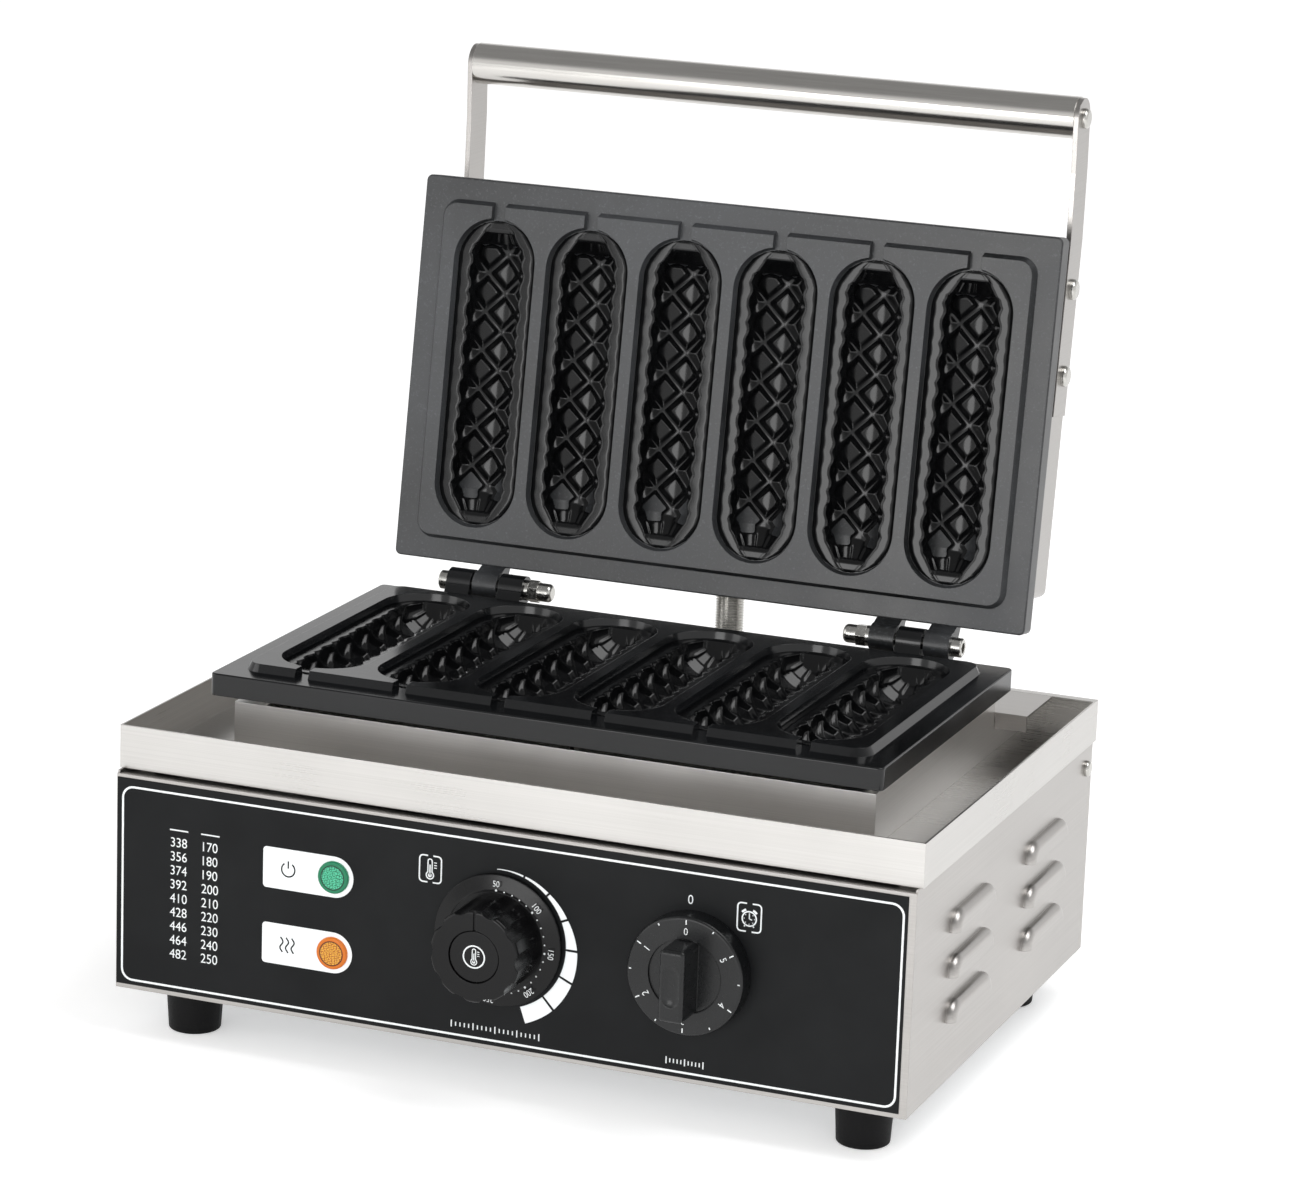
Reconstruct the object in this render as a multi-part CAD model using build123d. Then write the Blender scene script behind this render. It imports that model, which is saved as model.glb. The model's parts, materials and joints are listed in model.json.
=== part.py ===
from build123d import *
import math
import os

# Six-mould corn dog maker. The base is a stainless box on four feet, with the controls
# on its front, a drip tray on top and a pedestal that carries the lower casting. The
# lid is the same casting turned over, under a stainless hood with a bar handle, and it
# rests open on its stop. X runs to the right, Y to the back and Z up, in millimetres.
# While drawing, Y is zero at the middle of the base. At the end everything moves along
# Y, so that the origin lies under the middle of the whole open machine.

# Fits and cutters
sheet = 1.0
seam_gap = 0.2
running_fit = 0.05
head_round_share = 0.65
overrun = 5.0

# Castings: one form serves for the lower and the upper one
cavity_count = 6
cavity_pitch = 50.4
cavity_radius = 15.0
cavity_length = 142.6
cavity_end_radius = 9.7
cavity_end_taper = 11.0
cavity_wall = 2.5
rib_end_radius = 8.2
pocket_depth = 2.2
pocket_pitch = 19.7
pocket_offset = 10.8
pocket_row_angle = 37
pocket_row_count = 7
rib_angle = 33.5
pocket_floor_width = 6.8
pocket_wall_angle = 36
pocket_tool_height = 5.0
pocket_limit_gap = 1.0
side_land = 6.2
end_land = 6.2
neck_width = 7.0
neck_length = 8.75
pad_side_land = 10.2
pad_margin = 11.0
pad_corner = 9.0
pad_height = 4.0
pad_draft = 26
recess_draft = 14
slab_thickness = 10.7
slab_corner = 3.0
slab_edge = 0.8
closing_gap = 0.3

# Hinge
axis_offset = 9.3
hinge_reach = 113.3
knuckle_radius = 7.0
knuckle_width = 13.0
knuckle_gap = 1.2
knuckle_root = 7.0
lid_open_angle = 98.9
bolt_radius = 3.0
bolt_head_radius = 4.8
bolt_head_length = 5.5
bolt_socket_across = 5.0
bolt_socket_depth = 2.6
spring_washer_radius = 5.2
spring_washer_thickness = 2.4
hinge_nut_across = 10.0
hinge_nut_length = 5.0
dome_nut_length = 7.2
dome_nut_radius = 4.7
bolt_tip_cover = 2.2

# Heating elements
element_radius = 3.3
element_bend = 10.0
element_turn_gap = 4.2
element_tail = 12.0
terminal_radius = 1.6
terminal_length = 7.0

# Base heights and depths
foot_height = 24.0
housing_height = 106.0
tray_lift = 1.3
tray_band = 20.9
pedestal_rise = 5.8
plate_gap = 5.7
side_gutter = 38.5
front_gutter = 43.2
tray_side_overhang = 1.3
tray_rear_overhang = 0.9
panel_step = 5.0
deck_depth = 46.8
hem_width = 5.0
tray_rim_edge = 0.4

# Pedestal and deck
plate_side_overhang = 6.9
plate_front_overhang = 13.1
plate_rear_overhang = 4.2
pedestal_flange = 16.5
floor_opening_margin = 11.5
deck_side_overhang = 16.25
deck_lip = 8.0
spacer_radius = 6.0
plate_bolt_radius = 2.5
plate_bolt_bite = 6.0
plate_bolt_head_radius = 4.4
plate_bolt_head_length = 3.0
spacer_end_inset = 22.0

# Insulation under the lower casting
shield_drop = 22.0
shield_flange = 9.0
pad_thickness = 12.0
pad_end_inset = 4.0
wire_pass_radius = 4.0

# Body shell and panels
flange_width = 12.0
panel_return = 12.0
corner_relief = 2.0
overlay_thickness = 0.4
overlay_left_inset = 0.4
overlay_right_inset = 3.7
overlay_top_inset = 1.7
overlay_bottom_inset = 2.2
vent_slot_count = 9
vent_slot_length = 46.0
vent_slot_width = 5.0
vent_pitch = 16.0
vent_row_spacing = 110.0

# Louvres, in two columns of three on each side
louvre_length = 59.0
louvre_height = 9.5
louvre_throw = 4.4
louvre_round_share = 0.9
louvre_pitch = 21.6
louvre_rows = 3
louvre_low_edge = 29.7
louvre_front_middle = 80.4
louvre_rear_middle = 76.1
side_screw_inset = 9.5
side_screw_drop = 10.5
side_screw_head_radius = 4.0
side_screw_head_length = 2.4
side_screw_radius = 1.9
side_screw_length = 8.0

# Feet
foot_side_inset = 28.7
foot_end_inset = 26.95
foot_top_radius = 14.0
foot_bottom_radius = 12.5
foot_edge = 1.2
foot_bore_radius = 5.6
foot_bore_depth = 15.0
foot_screw_radius = 2.4
foot_screw_head_radius = 4.6
foot_screw_head_length = 3.2
foot_nut_across = 8.0
foot_nut_length = 4.0
foot_screw_tail = 1.5

# Hood, arms and handle, given with the lid closed
hood_side_inset = 8.4
hood_front_inset = 11.3
hood_rear_inset = 13.7
hood_height = 52.2
hood_edge = 4.0
blanket_thickness = 22.0
blanket_margin = 12.0
standoff_radius = 5.0
standoff_side_inset = 11.5
standoff_end_inset = 20.0
hood_screw_head_radius = 4.4
hood_screw_head_length = 2.6
hood_screw_radius = 2.0
hood_screw_length = 9.0
arm_thickness = 2.5
arm_width = 20.0
arm_height = 47.9
arm_rear_reach = 115.0
arm_bend_reach = 202.0
arm_knee_reach = 236.0
arm_knee_drop = 3.6
arm_screw_near_reach = 135.0
arm_screw_far_reach = 177.9
arm_screw_head_radius = 5.2
arm_screw_head_length = 3.0
arm_screw_radius = 2.4
arm_screw_length = 8.5
arm_nut_across = 8.0
arm_nut_length = 4.0
handle_reach = 261.9
handle_height = 39.8
handle_radius = 10.5
handle_wall = 1.2
handle_plug_length = 14.0
handle_screw_head_radius = 5.0
handle_screw_head_length = 2.8
handle_screw_radius = 2.4
handle_screw_length = 12.0

# Ribbed wire conduit
conduit_radius = 7.5
conduit_bore = 5.6
conduit_groove = 0.7
rib_pitch = 1.3
conduit_x = 10.2
conduit_from_axis = 19.4
conduit_wall_rise = 12.2
conduit_shift = 4.0
conduit_shank = 6.6
conduit_nut_across = 16.5
conduit_nut_length = 4.0
rib_step_shares = (0.0, 0.4, 0.5, 0.9)
ferrule_wall = 0.7
ferrule_height = 4.4
ferrule_seat = 2.4

# Controls on the front panel
control_height = 54.5
thermostat_x = -1.0
timer_x = 94.2
knob_standoff = 0.8
shaft_radius = 3.0
bush_radius = 4.8
shaft_bite = 12.0
shaft_cap_depth = 16.0
skirt_radius = 31.5
skirt_rim = 2.2
skirt_thickness = 4.8
skirt_land_radius = 24.0
skirt_land_height = 0.8
grip_radius = 22.0
grip_length = 24.0
grip_flutes = 10
flute_radius = 7.0
flute_depth = 1.7
grip_edge = 1.6
cap_radius = 12.35
pointer_width = 1.4
pointer_depth = 0.9
cap_recess = 1.4
cap_thickness = 1.0
timer_skirt_radius = 28.15
timer_rim = 1.5
timer_skirt_thickness = 9.8
timer_hub_radius = 17.5
timer_hub_recess = 1.0
bar_width = 12.0
bar_length = 34.0
bar_height = 18.0
bar_edge = 2.0
dimple_radius = 8.0
dimple_depth = 1.3
dimple_reach = 5.5
control_body_width = 46.0
control_body_height = 42.0
control_body_depth = 34.0
control_body_edge = 3.0
timer_body_width = 52.0
timer_body_height = 50.0
timer_body_depth = 38.0
control_screw_spread = 14.0
control_screw_radius = 1.9
control_screw_head_radius = 3.4
control_screw_head_length = 0.9
control_screw_length = 7.0
bulb_radius = 3.0
bulb_length = 76.0
capillary_radius = 1.0
capillary_bend = 9.0
capillary_run = 16.0

# Indicator lamps
lamp_x = -85.2
lamp_upper_height = 71.6
lamp_pitch = 37.0
lamp_lens_radius = 7.8
lamp_lens_thickness = 1.8
lamp_lens_edge = 0.9
lamp_body_radius = 5.8
lamp_body_length = 24.0
lamp_nut_radius = 8.5
lamp_nut_length = 3.0
lamp_pin_width = 2.4
lamp_pin_thickness = 0.8
lamp_pin_length = 7.0
lamp_pin_spread = 3.0

# Terminal block and cord inlet gland
block_width = 60.0
block_depth = 21.0
block_height = 18.0
block_step = 7.0
block_ways = 5
block_way_radius = 2.6
block_way_depth = 6.0
block_rear_gap = 62.0
inlet_x = 120.0
inlet_height = 30.0
inlet_radius = 11.0
inlet_bore = 4.5
inlet_length = 18.0
inlet_hex_length = 6.0
inlet_shank_radius = 7.5
inlet_nut_across = 22.0
inlet_nut_length = 5.0

# Sizes worked out from those above
end_to_end = (cavity_count - 1) * cavity_pitch
floor_radius = cavity_radius + pocket_depth
recess_width = 2 * (cavity_radius + side_land)
recess_length = cavity_length + 2 * end_land
pad_width = end_to_end + recess_width + 2 * pad_side_land
pad_depth = recess_length + 2 * neck_length
plate_width = pad_width + 2 * pad_margin
plate_depth = pad_depth + 2 * pad_margin
slab_top = -pad_height
slab_bottom = slab_top - slab_thickness
plate_back = -axis_offset
plate_front = plate_back - plate_depth
plate_middle = (plate_back + plate_front) / 2
cavity_xs = [(i - (cavity_count - 1) / 2) * cavity_pitch for i in range(cavity_count)]

pedestal_half = plate_width / 2 - plate_side_overhang
pedestal_depth = plate_depth - plate_front_overhang - plate_rear_overhang
tray_half = pedestal_half + side_gutter
body_half = tray_half - tray_side_overhang
tray_depth = front_gutter + pedestal_depth + deck_depth
body_depth = tray_depth + panel_step - tray_rear_overhang
body_front = -body_depth / 2
body_back = body_depth / 2
tray_front = body_front + panel_step
tray_back = body_back + tray_rear_overhang
pedestal_front = tray_front + front_gutter
pedestal_back = pedestal_front + pedestal_depth
axis_y = pedestal_back + plate_rear_overhang + axis_offset

body_bottom = foot_height
body_top = body_bottom + housing_height
tray_bottom = body_top + tray_lift
tray_floor = tray_bottom + sheet
rim_z = tray_bottom + tray_band
pedestal_top = rim_z + pedestal_rise
axis_z = pedestal_top + plate_gap + slab_thickness + pad_height
control_z = body_bottom + control_height
inner_half = body_half - sheet
panel_back = body_front + sheet
overlay_front = body_front - overlay_thickness

hood_half = plate_width / 2 - hood_side_inset
hood_front = plate_front + hood_front_inset
hood_back = plate_back - hood_rear_inset
hood_low = pad_height + slab_thickness
hood_top = hood_low + hood_height
arm_inner = hood_half
arm_outer = arm_inner + arm_thickness
low_ends = (Align.CENTER, Align.CENTER, Align.MIN)


# Shared helpers

# A box between six faces
def block(x0, x1, y0, y1, z0, z1):
    middle = Pos((x0 + x1) / 2, (y0 + y1) / 2, (z0 + z1) / 2)
    return middle * Box(x1 - x0, y1 - y0, z1 - z0)


# Round bars along each axis, from one end to the other
def bar_x(radius, x0, x1, y, z):
    return Pos(x0, y, z) * Rot(0, 90, 0) * Cylinder(radius, x1 - x0, align=low_ends)


def bar_y(radius, y0, y1, x, z):
    return Pos(x, y1, z) * Rot(90, 0, 0) * Cylinder(radius, y1 - y0, align=low_ends)


def bar_z(radius, z0, z1, x, y):
    return Pos(x, y, z0) * Cylinder(radius, z1 - z0, align=low_ends)


# A hexagonal prism that stands on the plane, its size given across the flats
def hexagon(plane, across, length):
    outline = RegularPolygon(across / 2, 6, major_radius=False)
    return extrude(plane * outline, amount=length)


def group(solids):
    return Compound(children=solids)


# The same piece, or group of pieces, on the other side of the machine
def mirrored(shape):
    sides = [mirror(solid, about=Plane.YZ) for solid in shape.solids()]
    return sides[0] if len(sides) == 1 else group(sides)


# Places a piece of the closed lid, drawn about the hinge axis, in the open lid
def in_lid(shape):
    return Pos(0, axis_y, axis_z) * Rot(-lid_open_angle, 0, 0) * shape


# Places a piece of the lower casting, drawn about the hinge axis
def at_axis(shape):
    return Pos(0, axis_y, axis_z) * shape


# Castings

# A half-round mould as a turned solid along Y, with tapered ends. The wall is added
# past both ends, for the outside of the mould.
def mould_form(radius, end_radius, wall):
    half = cavity_length / 2
    shoulder = half - cavity_end_taper
    profile = make_face(Polyline(
        (0, -half - wall),
        (end_radius, -half - wall),
        (radius, -shoulder),
        (radius, shoulder),
        (end_radius, half + wall),
        (0, half + wall),
        (0, -half - wall),
    ))
    return revolve(profile, Axis.Y)


# One pocket of the waffle: the part two troughs have in common that lie along the two
# directions of the ribs, each with a flat floor and walls that open towards the axis
def pocket():
    low = pocket_floor_width / 2
    high = low + pocket_tool_height * math.tan(math.radians(pocket_wall_angle))
    section = make_face(Polyline((-low, 0), (low, 0), (high, pocket_tool_height),
                                 (-high, pocket_tool_height), (-low, 0)))
    start = Plane(origin=(0, 0, -floor_radius), x_dir=(1, 0, 0), z_dir=(0, -1, 0))
    trough = extrude(start * section, amount=pocket_pitch, both=True)
    return Rot(0, 0, rib_angle) * trough & Rot(0, 0, -rib_angle) * trough


# Where a row's pockets stand along the mould: every second row is half a pitch on
def pocket_places(row):
    start = pocket_offset + (row % 2) * pocket_pitch / 2
    steps = range(-int(cavity_length / pocket_pitch) - 1, int(cavity_length / pocket_pitch) + 2)
    places = [start + step * pocket_pitch for step in steps]
    return [-place for place in places if abs(place) < cavity_length / 2]


# The waffle mould: a smooth form over the rib crests, and the pockets cut into it,
# in rows round the form, which an outer form limits at the tapered ends
def waffle_form():
    crest = mould_form(cavity_radius, rib_end_radius, 0)
    limit = mould_form(floor_radius + pocket_limit_gap, cavity_end_radius, 0)
    half_rows = pocket_row_count // 2
    single = pocket()
    shoulder = cavity_length / 2 - cavity_end_taper - pocket_pitch
    pockets = []
    for row in range(-half_rows, half_rows + 1):
        for y in pocket_places(row):
            tool = Pos(0, y, 0) * Rot(0, row * pocket_row_angle, 0) * single
            pockets.append(tool & limit if abs(y) > shoulder else tool)
    return crest + pockets


# The route of the heating element between the moulds, seen from below
def element_route():
    inner = cavity_pitch
    outer = 2 * cavity_pitch
    turn = cavity_length / 2 + element_turn_gap + element_radius
    front = plate_middle - turn
    rear = plate_middle + turn
    low = slab_bottom - element_tail
    points = [
        (-outer, rear, low),
        (-outer, rear, slab_bottom),
        (-outer, front, slab_bottom),
        (-inner, front, slab_bottom),
        (-inner, rear, slab_bottom),
        (inner, rear, slab_bottom),
        (inner, front, slab_bottom),
        (outer, front, slab_bottom),
        (outer, rear, slab_bottom),
        (outer, rear, low),
    ]
    return FilletPolyline(*points, radius=element_bend)


def element_sweep(radius):
    route = element_route()
    start = Plane(origin=route @ 0, z_dir=route % 0)
    return sweep(start * Circle(radius), path=route)


# One knuckle with its web to the casting's back edge
def knuckle(x):
    web = Polyline(
        (-knuckle_radius, 0),
        (plate_back, slab_top),
        (plate_back, slab_top - knuckle_root),
        (0, -knuckle_radius),
        (knuckle_radius, 0),
        (-knuckle_radius, 0),
    )
    outline = make_face(web) + Circle(knuckle_radius)
    start = Plane(origin=(x - knuckle_width / 2, 0, 0), x_dir=(0, 1, 0), z_dir=(1, 0, 0))
    return extrude(start * outline, amount=knuckle_width)


def casting():
    slab = block(-plate_width / 2, plate_width / 2, plate_front, plate_back,
                 slab_bottom, slab_top)
    slab = fillet(slab.edges().filter_by(Axis.Z), slab_corner)
    slab = fillet(slab.faces().sort_by(Axis.Z)[-1].edges(), slab_edge)
    pad_rise = pad_height - closing_gap / 2
    pad_plane = Plane(origin=(0, plate_middle, slab_top))
    pad_outline = RectangleRounded(pad_width, pad_depth, pad_corner)
    body = slab + extrude(pad_plane * pad_outline, amount=pad_rise, taper=pad_draft)
    below = block(-plate_width, plate_width, plate_front, plate_back,
                  slab_bottom - plate_depth, slab_top)
    seat = Pos(0, plate_middle, slab_top)
    outer_form = mould_form(floor_radius + cavity_wall, cavity_end_radius + cavity_wall,
                            cavity_wall)
    shell_form = seat * outer_form & below
    body += [Pos(x, 0, 0) * shell_form for x in cavity_xs]
    pitch = knuckle_width + knuckle_gap
    body += [knuckle(x) for x in (-hinge_reach - pitch, -hinge_reach + pitch, hinge_reach)]

    slot = Rot(0, 0, 90) * SlotOverall(recess_length, recess_width)
    recess = extrude(pad_plane * slot, amount=pad_rise + overrun, taper=-recess_draft)
    neck = block(-neck_width / 2, neck_width / 2, plate_front - overrun, plate_middle,
                 slab_top, slab_top + pad_height + overrun)
    body -= [Pos(x, 0, 0) * (recess + neck) for x in cavity_xs]
    waffle = seat * waffle_form()
    body -= [Pos(x, 0, 0) * waffle for x in cavity_xs]
    body -= element_sweep(element_radius + running_fit)
    body -= bar_y(bulb_radius + running_fit, plate_middle - bulb_length / 2,
                  plate_middle + bulb_length / 2, 0, slab_bottom)
    bore = bar_x(bolt_radius + running_fit, fork_inner() - overrun, fork_outer() + overrun,
                 0, 0)
    body -= [bore, mirrored(bore)]
    for x, y in spacer_places():
        body -= bar_z(plate_bolt_radius + running_fit, slab_bottom - overrun,
                      slab_bottom + plate_bolt_bite, x, y)
    return body


# Where the spacers stand, under the casting's side borders
def spacer_places():
    x = pedestal_half - pedestal_flange / 2
    ends = (plate_front + plate_front_overhang + spacer_end_inset,
            plate_back - plate_rear_overhang - spacer_end_inset)
    return [(side * x, y) for side in (-1, 1) for y in ends]


def heating_element():
    tube = element_sweep(element_radius)
    rear = plate_middle + cavity_length / 2 + element_turn_gap + element_radius
    low = slab_bottom - element_tail
    pins = [bar_z(terminal_radius, low - terminal_length, low, side * 2 * cavity_pitch, rear)
            for side in (-1, 1)]
    return tube + pins


# Hinge hardware, drawn on the left about the axis, head outwards
def fork_outer():
    return hinge_reach + knuckle_gap + 3 * knuckle_width / 2


def fork_inner():
    return hinge_reach - knuckle_gap - 3 * knuckle_width / 2


def hinge_bolt():
    tip = fork_inner() - spring_washer_thickness - hinge_nut_length - bolt_tip_cover
    shank = bar_x(bolt_radius, -fork_outer(), -tip, 0, 0)
    head = bar_x(bolt_head_radius, -fork_outer() - bolt_head_length, -fork_outer(), 0, 0)
    rim = head.faces().sort_by(Axis.X)[0].edges()
    head = chamfer(rim, bolt_head_length / 10)
    end = Plane(origin=(-fork_outer() - bolt_head_length, 0, 0), z_dir=(1, 0, 0))
    return shank + head - hexagon(end, bolt_socket_across, bolt_socket_depth)


# Washer, hex nut and dome nut in a row on the bolt's inner end
def hinge_washer():
    end = -fork_inner()
    ring = bar_x(spring_washer_radius, end, end + spring_washer_thickness, 0, 0)
    return ring - bar_x(bolt_radius + running_fit, end - overrun,
                        end + spring_washer_thickness + overrun, 0, 0)


def hinge_nuts():
    start = -fork_inner() + spring_washer_thickness
    middle = start + hinge_nut_length
    nut = hexagon(Plane(origin=(start, 0, 0), z_dir=(1, 0, 0)), hinge_nut_across,
                  hinge_nut_length)
    nut -= bar_x(bolt_radius + running_fit, start - overrun, middle + overrun, 0, 0)
    dome = bar_x(dome_nut_radius, middle, middle + dome_nut_length, 0, 0)
    dome = fillet(dome.faces().sort_by(Axis.X)[-1].edges(), dome_nut_radius / 2)
    dome -= bar_x(bolt_radius + running_fit, middle - overrun,
                  middle + bolt_tip_cover + running_fit, 0, 0)
    return group([nut, dome])


# Housing of the base

# One louvre: a pressed hood, open along its lower edge, on the outer face x 0
def louvre(shrink):
    height = louvre_height - shrink
    length = louvre_length - 2 * shrink
    throw = louvre_throw - shrink
    outline = SlotOverall(length, 2 * height)
    face_plane = Plane(origin=(0, 0, 0), x_dir=(0, 1, 0), z_dir=(1, 0, 0))
    pillow = extrude(face_plane * outline, amount=throw)
    outer_rim = pillow.faces().sort_by(Axis.X)[-1].edges()
    pillow = fillet(outer_rim, throw * louvre_round_share)
    upper = block(-overrun, louvre_throw + overrun, -length, length, 0, 2 * height)
    return pillow & upper


def louvre_places():
    middles = (body_front + louvre_front_middle, body_back - louvre_rear_middle)
    low = body_bottom + louvre_low_edge
    return [(y, low + row * louvre_pitch) for y in middles for row in range(louvre_rows)]


def body_shell():
    outer = block(-body_half, body_half, panel_back, body_back, body_bottom, tray_bottom)
    inner = block(-inner_half, inner_half, panel_back - overrun, body_back - sheet,
                  body_bottom - overrun, tray_bottom + overrun)
    shell = outer - inner
    window = block(-inner_half + flange_width, inner_half - flange_width,
                   panel_back - overrun, body_back - sheet - flange_width,
                   body_bottom - overrun, tray_bottom + overrun)
    for low in (body_bottom + sheet, tray_bottom - sheet):
        flange = block(-inner_half, inner_half, panel_back + panel_return + seam_gap,
                       body_back - sheet, low, low + sheet)
        shell += flange - window
    hood_form = louvre(0)
    hollow = louvre(sheet)
    passage = extrude(hollow.faces().sort_by(Axis.X)[0], amount=sheet + overrun)
    for y, z in louvre_places():
        right = Pos(body_half, y, z)
        shell += right * hood_form
        shell -= right * (hollow + passage)
        left = mirrored(right * hood_form)
        shell += left
        shell -= mirrored(right * (hollow + passage))
    screw_y = body_back - side_screw_inset
    screw_z = body_top - side_screw_drop
    shell -= bar_x(side_screw_radius + running_fit, -body_half - overrun,
                   body_half + overrun, screw_y, screw_z)
    shell -= bar_y(inlet_shank_radius + running_fit, body_back - sheet - overrun,
                   body_back + overrun, inlet_x, body_bottom + inlet_height)
    return shell


def side_screws():
    y = body_back - side_screw_inset
    z = body_top - side_screw_drop
    head = bar_x(side_screw_head_radius, body_half, body_half + side_screw_head_length, y, z)
    head = fillet(head.faces().sort_by(Axis.X)[-1].edges(), side_screw_head_length * head_round_share)
    right = head + bar_x(side_screw_radius, body_half - side_screw_length, body_half, y, z)
    return group([right, mirrored(right)])


# Round holes that the front panel and its overlay share
def panel_holes(extra):
    front = body_front - overrun
    rear = body_front + overrun
    tools = [bar_y(bush_radius + running_fit + extra, front, rear, x, control_z)
             for x in (thermostat_x, timer_x)]
    tools += [bar_y(lamp_body_radius + running_fit + extra, front, rear, lamp_x, z)
              for z in lamp_heights()]
    for x in (thermostat_x, timer_x):
        for side in (-1, 1):
            radius = control_screw_radius + running_fit
            if extra:
                radius = control_screw_head_radius + extra
            tools.append(bar_y(radius, front, rear, x + side * control_screw_spread,
                               control_z))
    return tools


def lamp_heights():
    top = body_bottom + lamp_upper_height
    return (top, top - lamp_pitch)


def front_panel():
    face = block(-body_half, body_half, body_front, panel_back, body_bottom, body_top)
    returned = panel_back + panel_return
    for low in (body_bottom, body_top - sheet):
        face += block(-inner_half + seam_gap, inner_half - seam_gap, panel_back, returned,
                      low, low + sheet)
    low = body_bottom + 2 * sheet + corner_relief
    high = body_top - 2 * sheet - corner_relief
    side = block(inner_half - seam_gap - sheet, inner_half - seam_gap, panel_back,
                 returned, low, high)
    face += [side, mirrored(side)]
    return face - panel_holes(0)


def control_overlay():
    film = block(-body_half + overlay_left_inset, body_half - overlay_right_inset,
                 overlay_front, body_front, body_bottom + overlay_bottom_inset,
                 body_top - overlay_top_inset)
    return film - panel_holes(seam_gap)


def bottom_plate():
    front = panel_back + panel_return + seam_gap
    plate = block(-inner_half, inner_half, front, body_back - sheet, body_bottom,
                  body_bottom + sheet)
    slot = SlotOverall(vent_slot_length, vent_slot_width, rotation=90)
    cutter = extrude(slot, amount=foot_height + overrun, both=True)
    for row in (-1, 1):
        for i in range(vent_slot_count):
            x = (i - (vent_slot_count - 1) / 2) * vent_pitch
            plate -= Pos(x, row * vent_row_spacing / 2, body_bottom) * cutter
    for x, y in foot_places():
        plate -= bar_z(foot_screw_radius + running_fit, 0, body_top, x, y)
    return plate


def foot_places():
    x = body_half - foot_side_inset
    y = body_depth / 2 - foot_end_inset
    return [(sx * x, sy * y) for sx in (-1, 1) for sy in (-1, 1)]


def foot():
    cone = Cone(foot_bottom_radius, foot_top_radius, foot_height, align=low_ends)
    cone = fillet(cone.faces().sort_by(Axis.Z)[0].edges(), foot_edge)
    cone -= bar_z(foot_bore_radius, -overrun, foot_bore_depth, 0, 0)
    return cone - bar_z(foot_screw_radius + running_fit, 0, foot_height + overrun, 0, 0)


def foot_screw():
    head_low = foot_bore_depth - foot_screw_head_length
    tip = foot_height + sheet + foot_nut_length + foot_screw_tail
    head = bar_z(foot_screw_head_radius, head_low, foot_bore_depth, 0, 0)
    return head + bar_z(foot_screw_radius, head_low, tip, 0, 0)


def foot_nut():
    low = foot_height + sheet
    nut = hexagon(Plane(origin=(0, 0, low)), foot_nut_across, foot_nut_length)
    return nut - bar_z(foot_screw_radius + running_fit, 0, body_top, 0, 0)


def at_feet(shape):
    return group([Pos(x, y, 0) * shape for x, y in foot_places()])


# Tray, pedestal and deck

def top_tray():
    pan = block(-tray_half, tray_half, tray_front, tray_back, tray_bottom, rim_z)
    pan -= block(-tray_half + sheet, tray_half - sheet, tray_front + sheet,
                 tray_back - sheet, tray_floor, rim_z + overrun)
    pan += block(-tray_half + sheet, tray_half - sheet, tray_back - hem_width,
                 tray_back - sheet, rim_z - sheet, rim_z)
    pan = fillet(pan.edges().filter_by(Axis.Z).group_by(Axis.Y)[0], tray_rim_edge)
    pan -= block(-pedestal_half + floor_opening_margin, pedestal_half - floor_opening_margin,
                 pedestal_front + floor_opening_margin,
                 tray_back - hem_width - floor_opening_margin,
                 tray_bottom - overrun, tray_floor + overrun)
    return pan


def pedestal():
    back = tray_back - sheet
    deck_low = rim_z - sheet
    outer = block(-pedestal_half, pedestal_half, pedestal_front, back, tray_floor, deck_low)
    outer += block(-pedestal_half, pedestal_half, pedestal_front, pedestal_back,
                   tray_floor, pedestal_top)
    bay = block(-pedestal_half + sheet, pedestal_half - sheet, pedestal_front + sheet,
                pedestal_back - sheet, tray_floor - overrun, pedestal_top + overrun)
    rear_bay = block(-pedestal_half + sheet, pedestal_half - sheet, pedestal_back,
                     back + overrun, tray_floor - overrun, deck_low + overrun)
    box = outer - bay - rear_bay
    flange = block(pedestal_half - pedestal_flange, pedestal_half - sheet,
                   pedestal_front + sheet, pedestal_back - sheet,
                   pedestal_top - sheet, pedestal_top)
    box += [flange, mirrored(flange)]
    box -= block(-inlet_radius, inlet_radius, pedestal_back - sheet - overrun,
                 pedestal_back + overrun, tray_floor - overrun, tray_floor + inlet_radius)
    for x, y in spacer_places():
        box -= bar_z(plate_bolt_radius + running_fit, pedestal_top - overrun,
                     pedestal_top + overrun, x, axis_y + y)
    return box


def rear_deck():
    half = pedestal_half + deck_side_overhang
    front = pedestal_back + seam_gap
    back = tray_back - hem_width - seam_gap
    deck = block(-half, half, front, back, rim_z - sheet, rim_z)
    lip = block(pedestal_half + seam_gap, half, front, front + sheet, rim_z - deck_lip, rim_z)
    deck += [lip, mirrored(lip)]
    return deck - bar_z(conduit_shank + running_fit, rim_z - overrun, rim_z + overrun,
                        conduit_x, axis_y + conduit_from_axis)


def plate_spacers():
    ring = bar_z(spacer_radius, pedestal_top, pedestal_top + plate_gap, 0, 0)
    ring -= bar_z(plate_bolt_radius + running_fit, 0, rim_z + axis_z, 0, 0)
    return group([Pos(x, axis_y + y, 0) * ring for x, y in spacer_places()])


def plate_bolts():
    low = pedestal_top - sheet
    top = pedestal_top + plate_gap + plate_bolt_bite - running_fit
    bolt = bar_z(plate_bolt_radius, low, top, 0, 0)
    bolt += bar_z(plate_bolt_head_radius, low - plate_bolt_head_length, low, 0, 0)
    return group([Pos(x, axis_y + y, 0) * bolt for x, y in spacer_places()])


# A pan that hangs between the pedestal's side walls and holds the insulation
def pad_half_depth():
    return cavity_length / 2 - pad_end_inset


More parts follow.
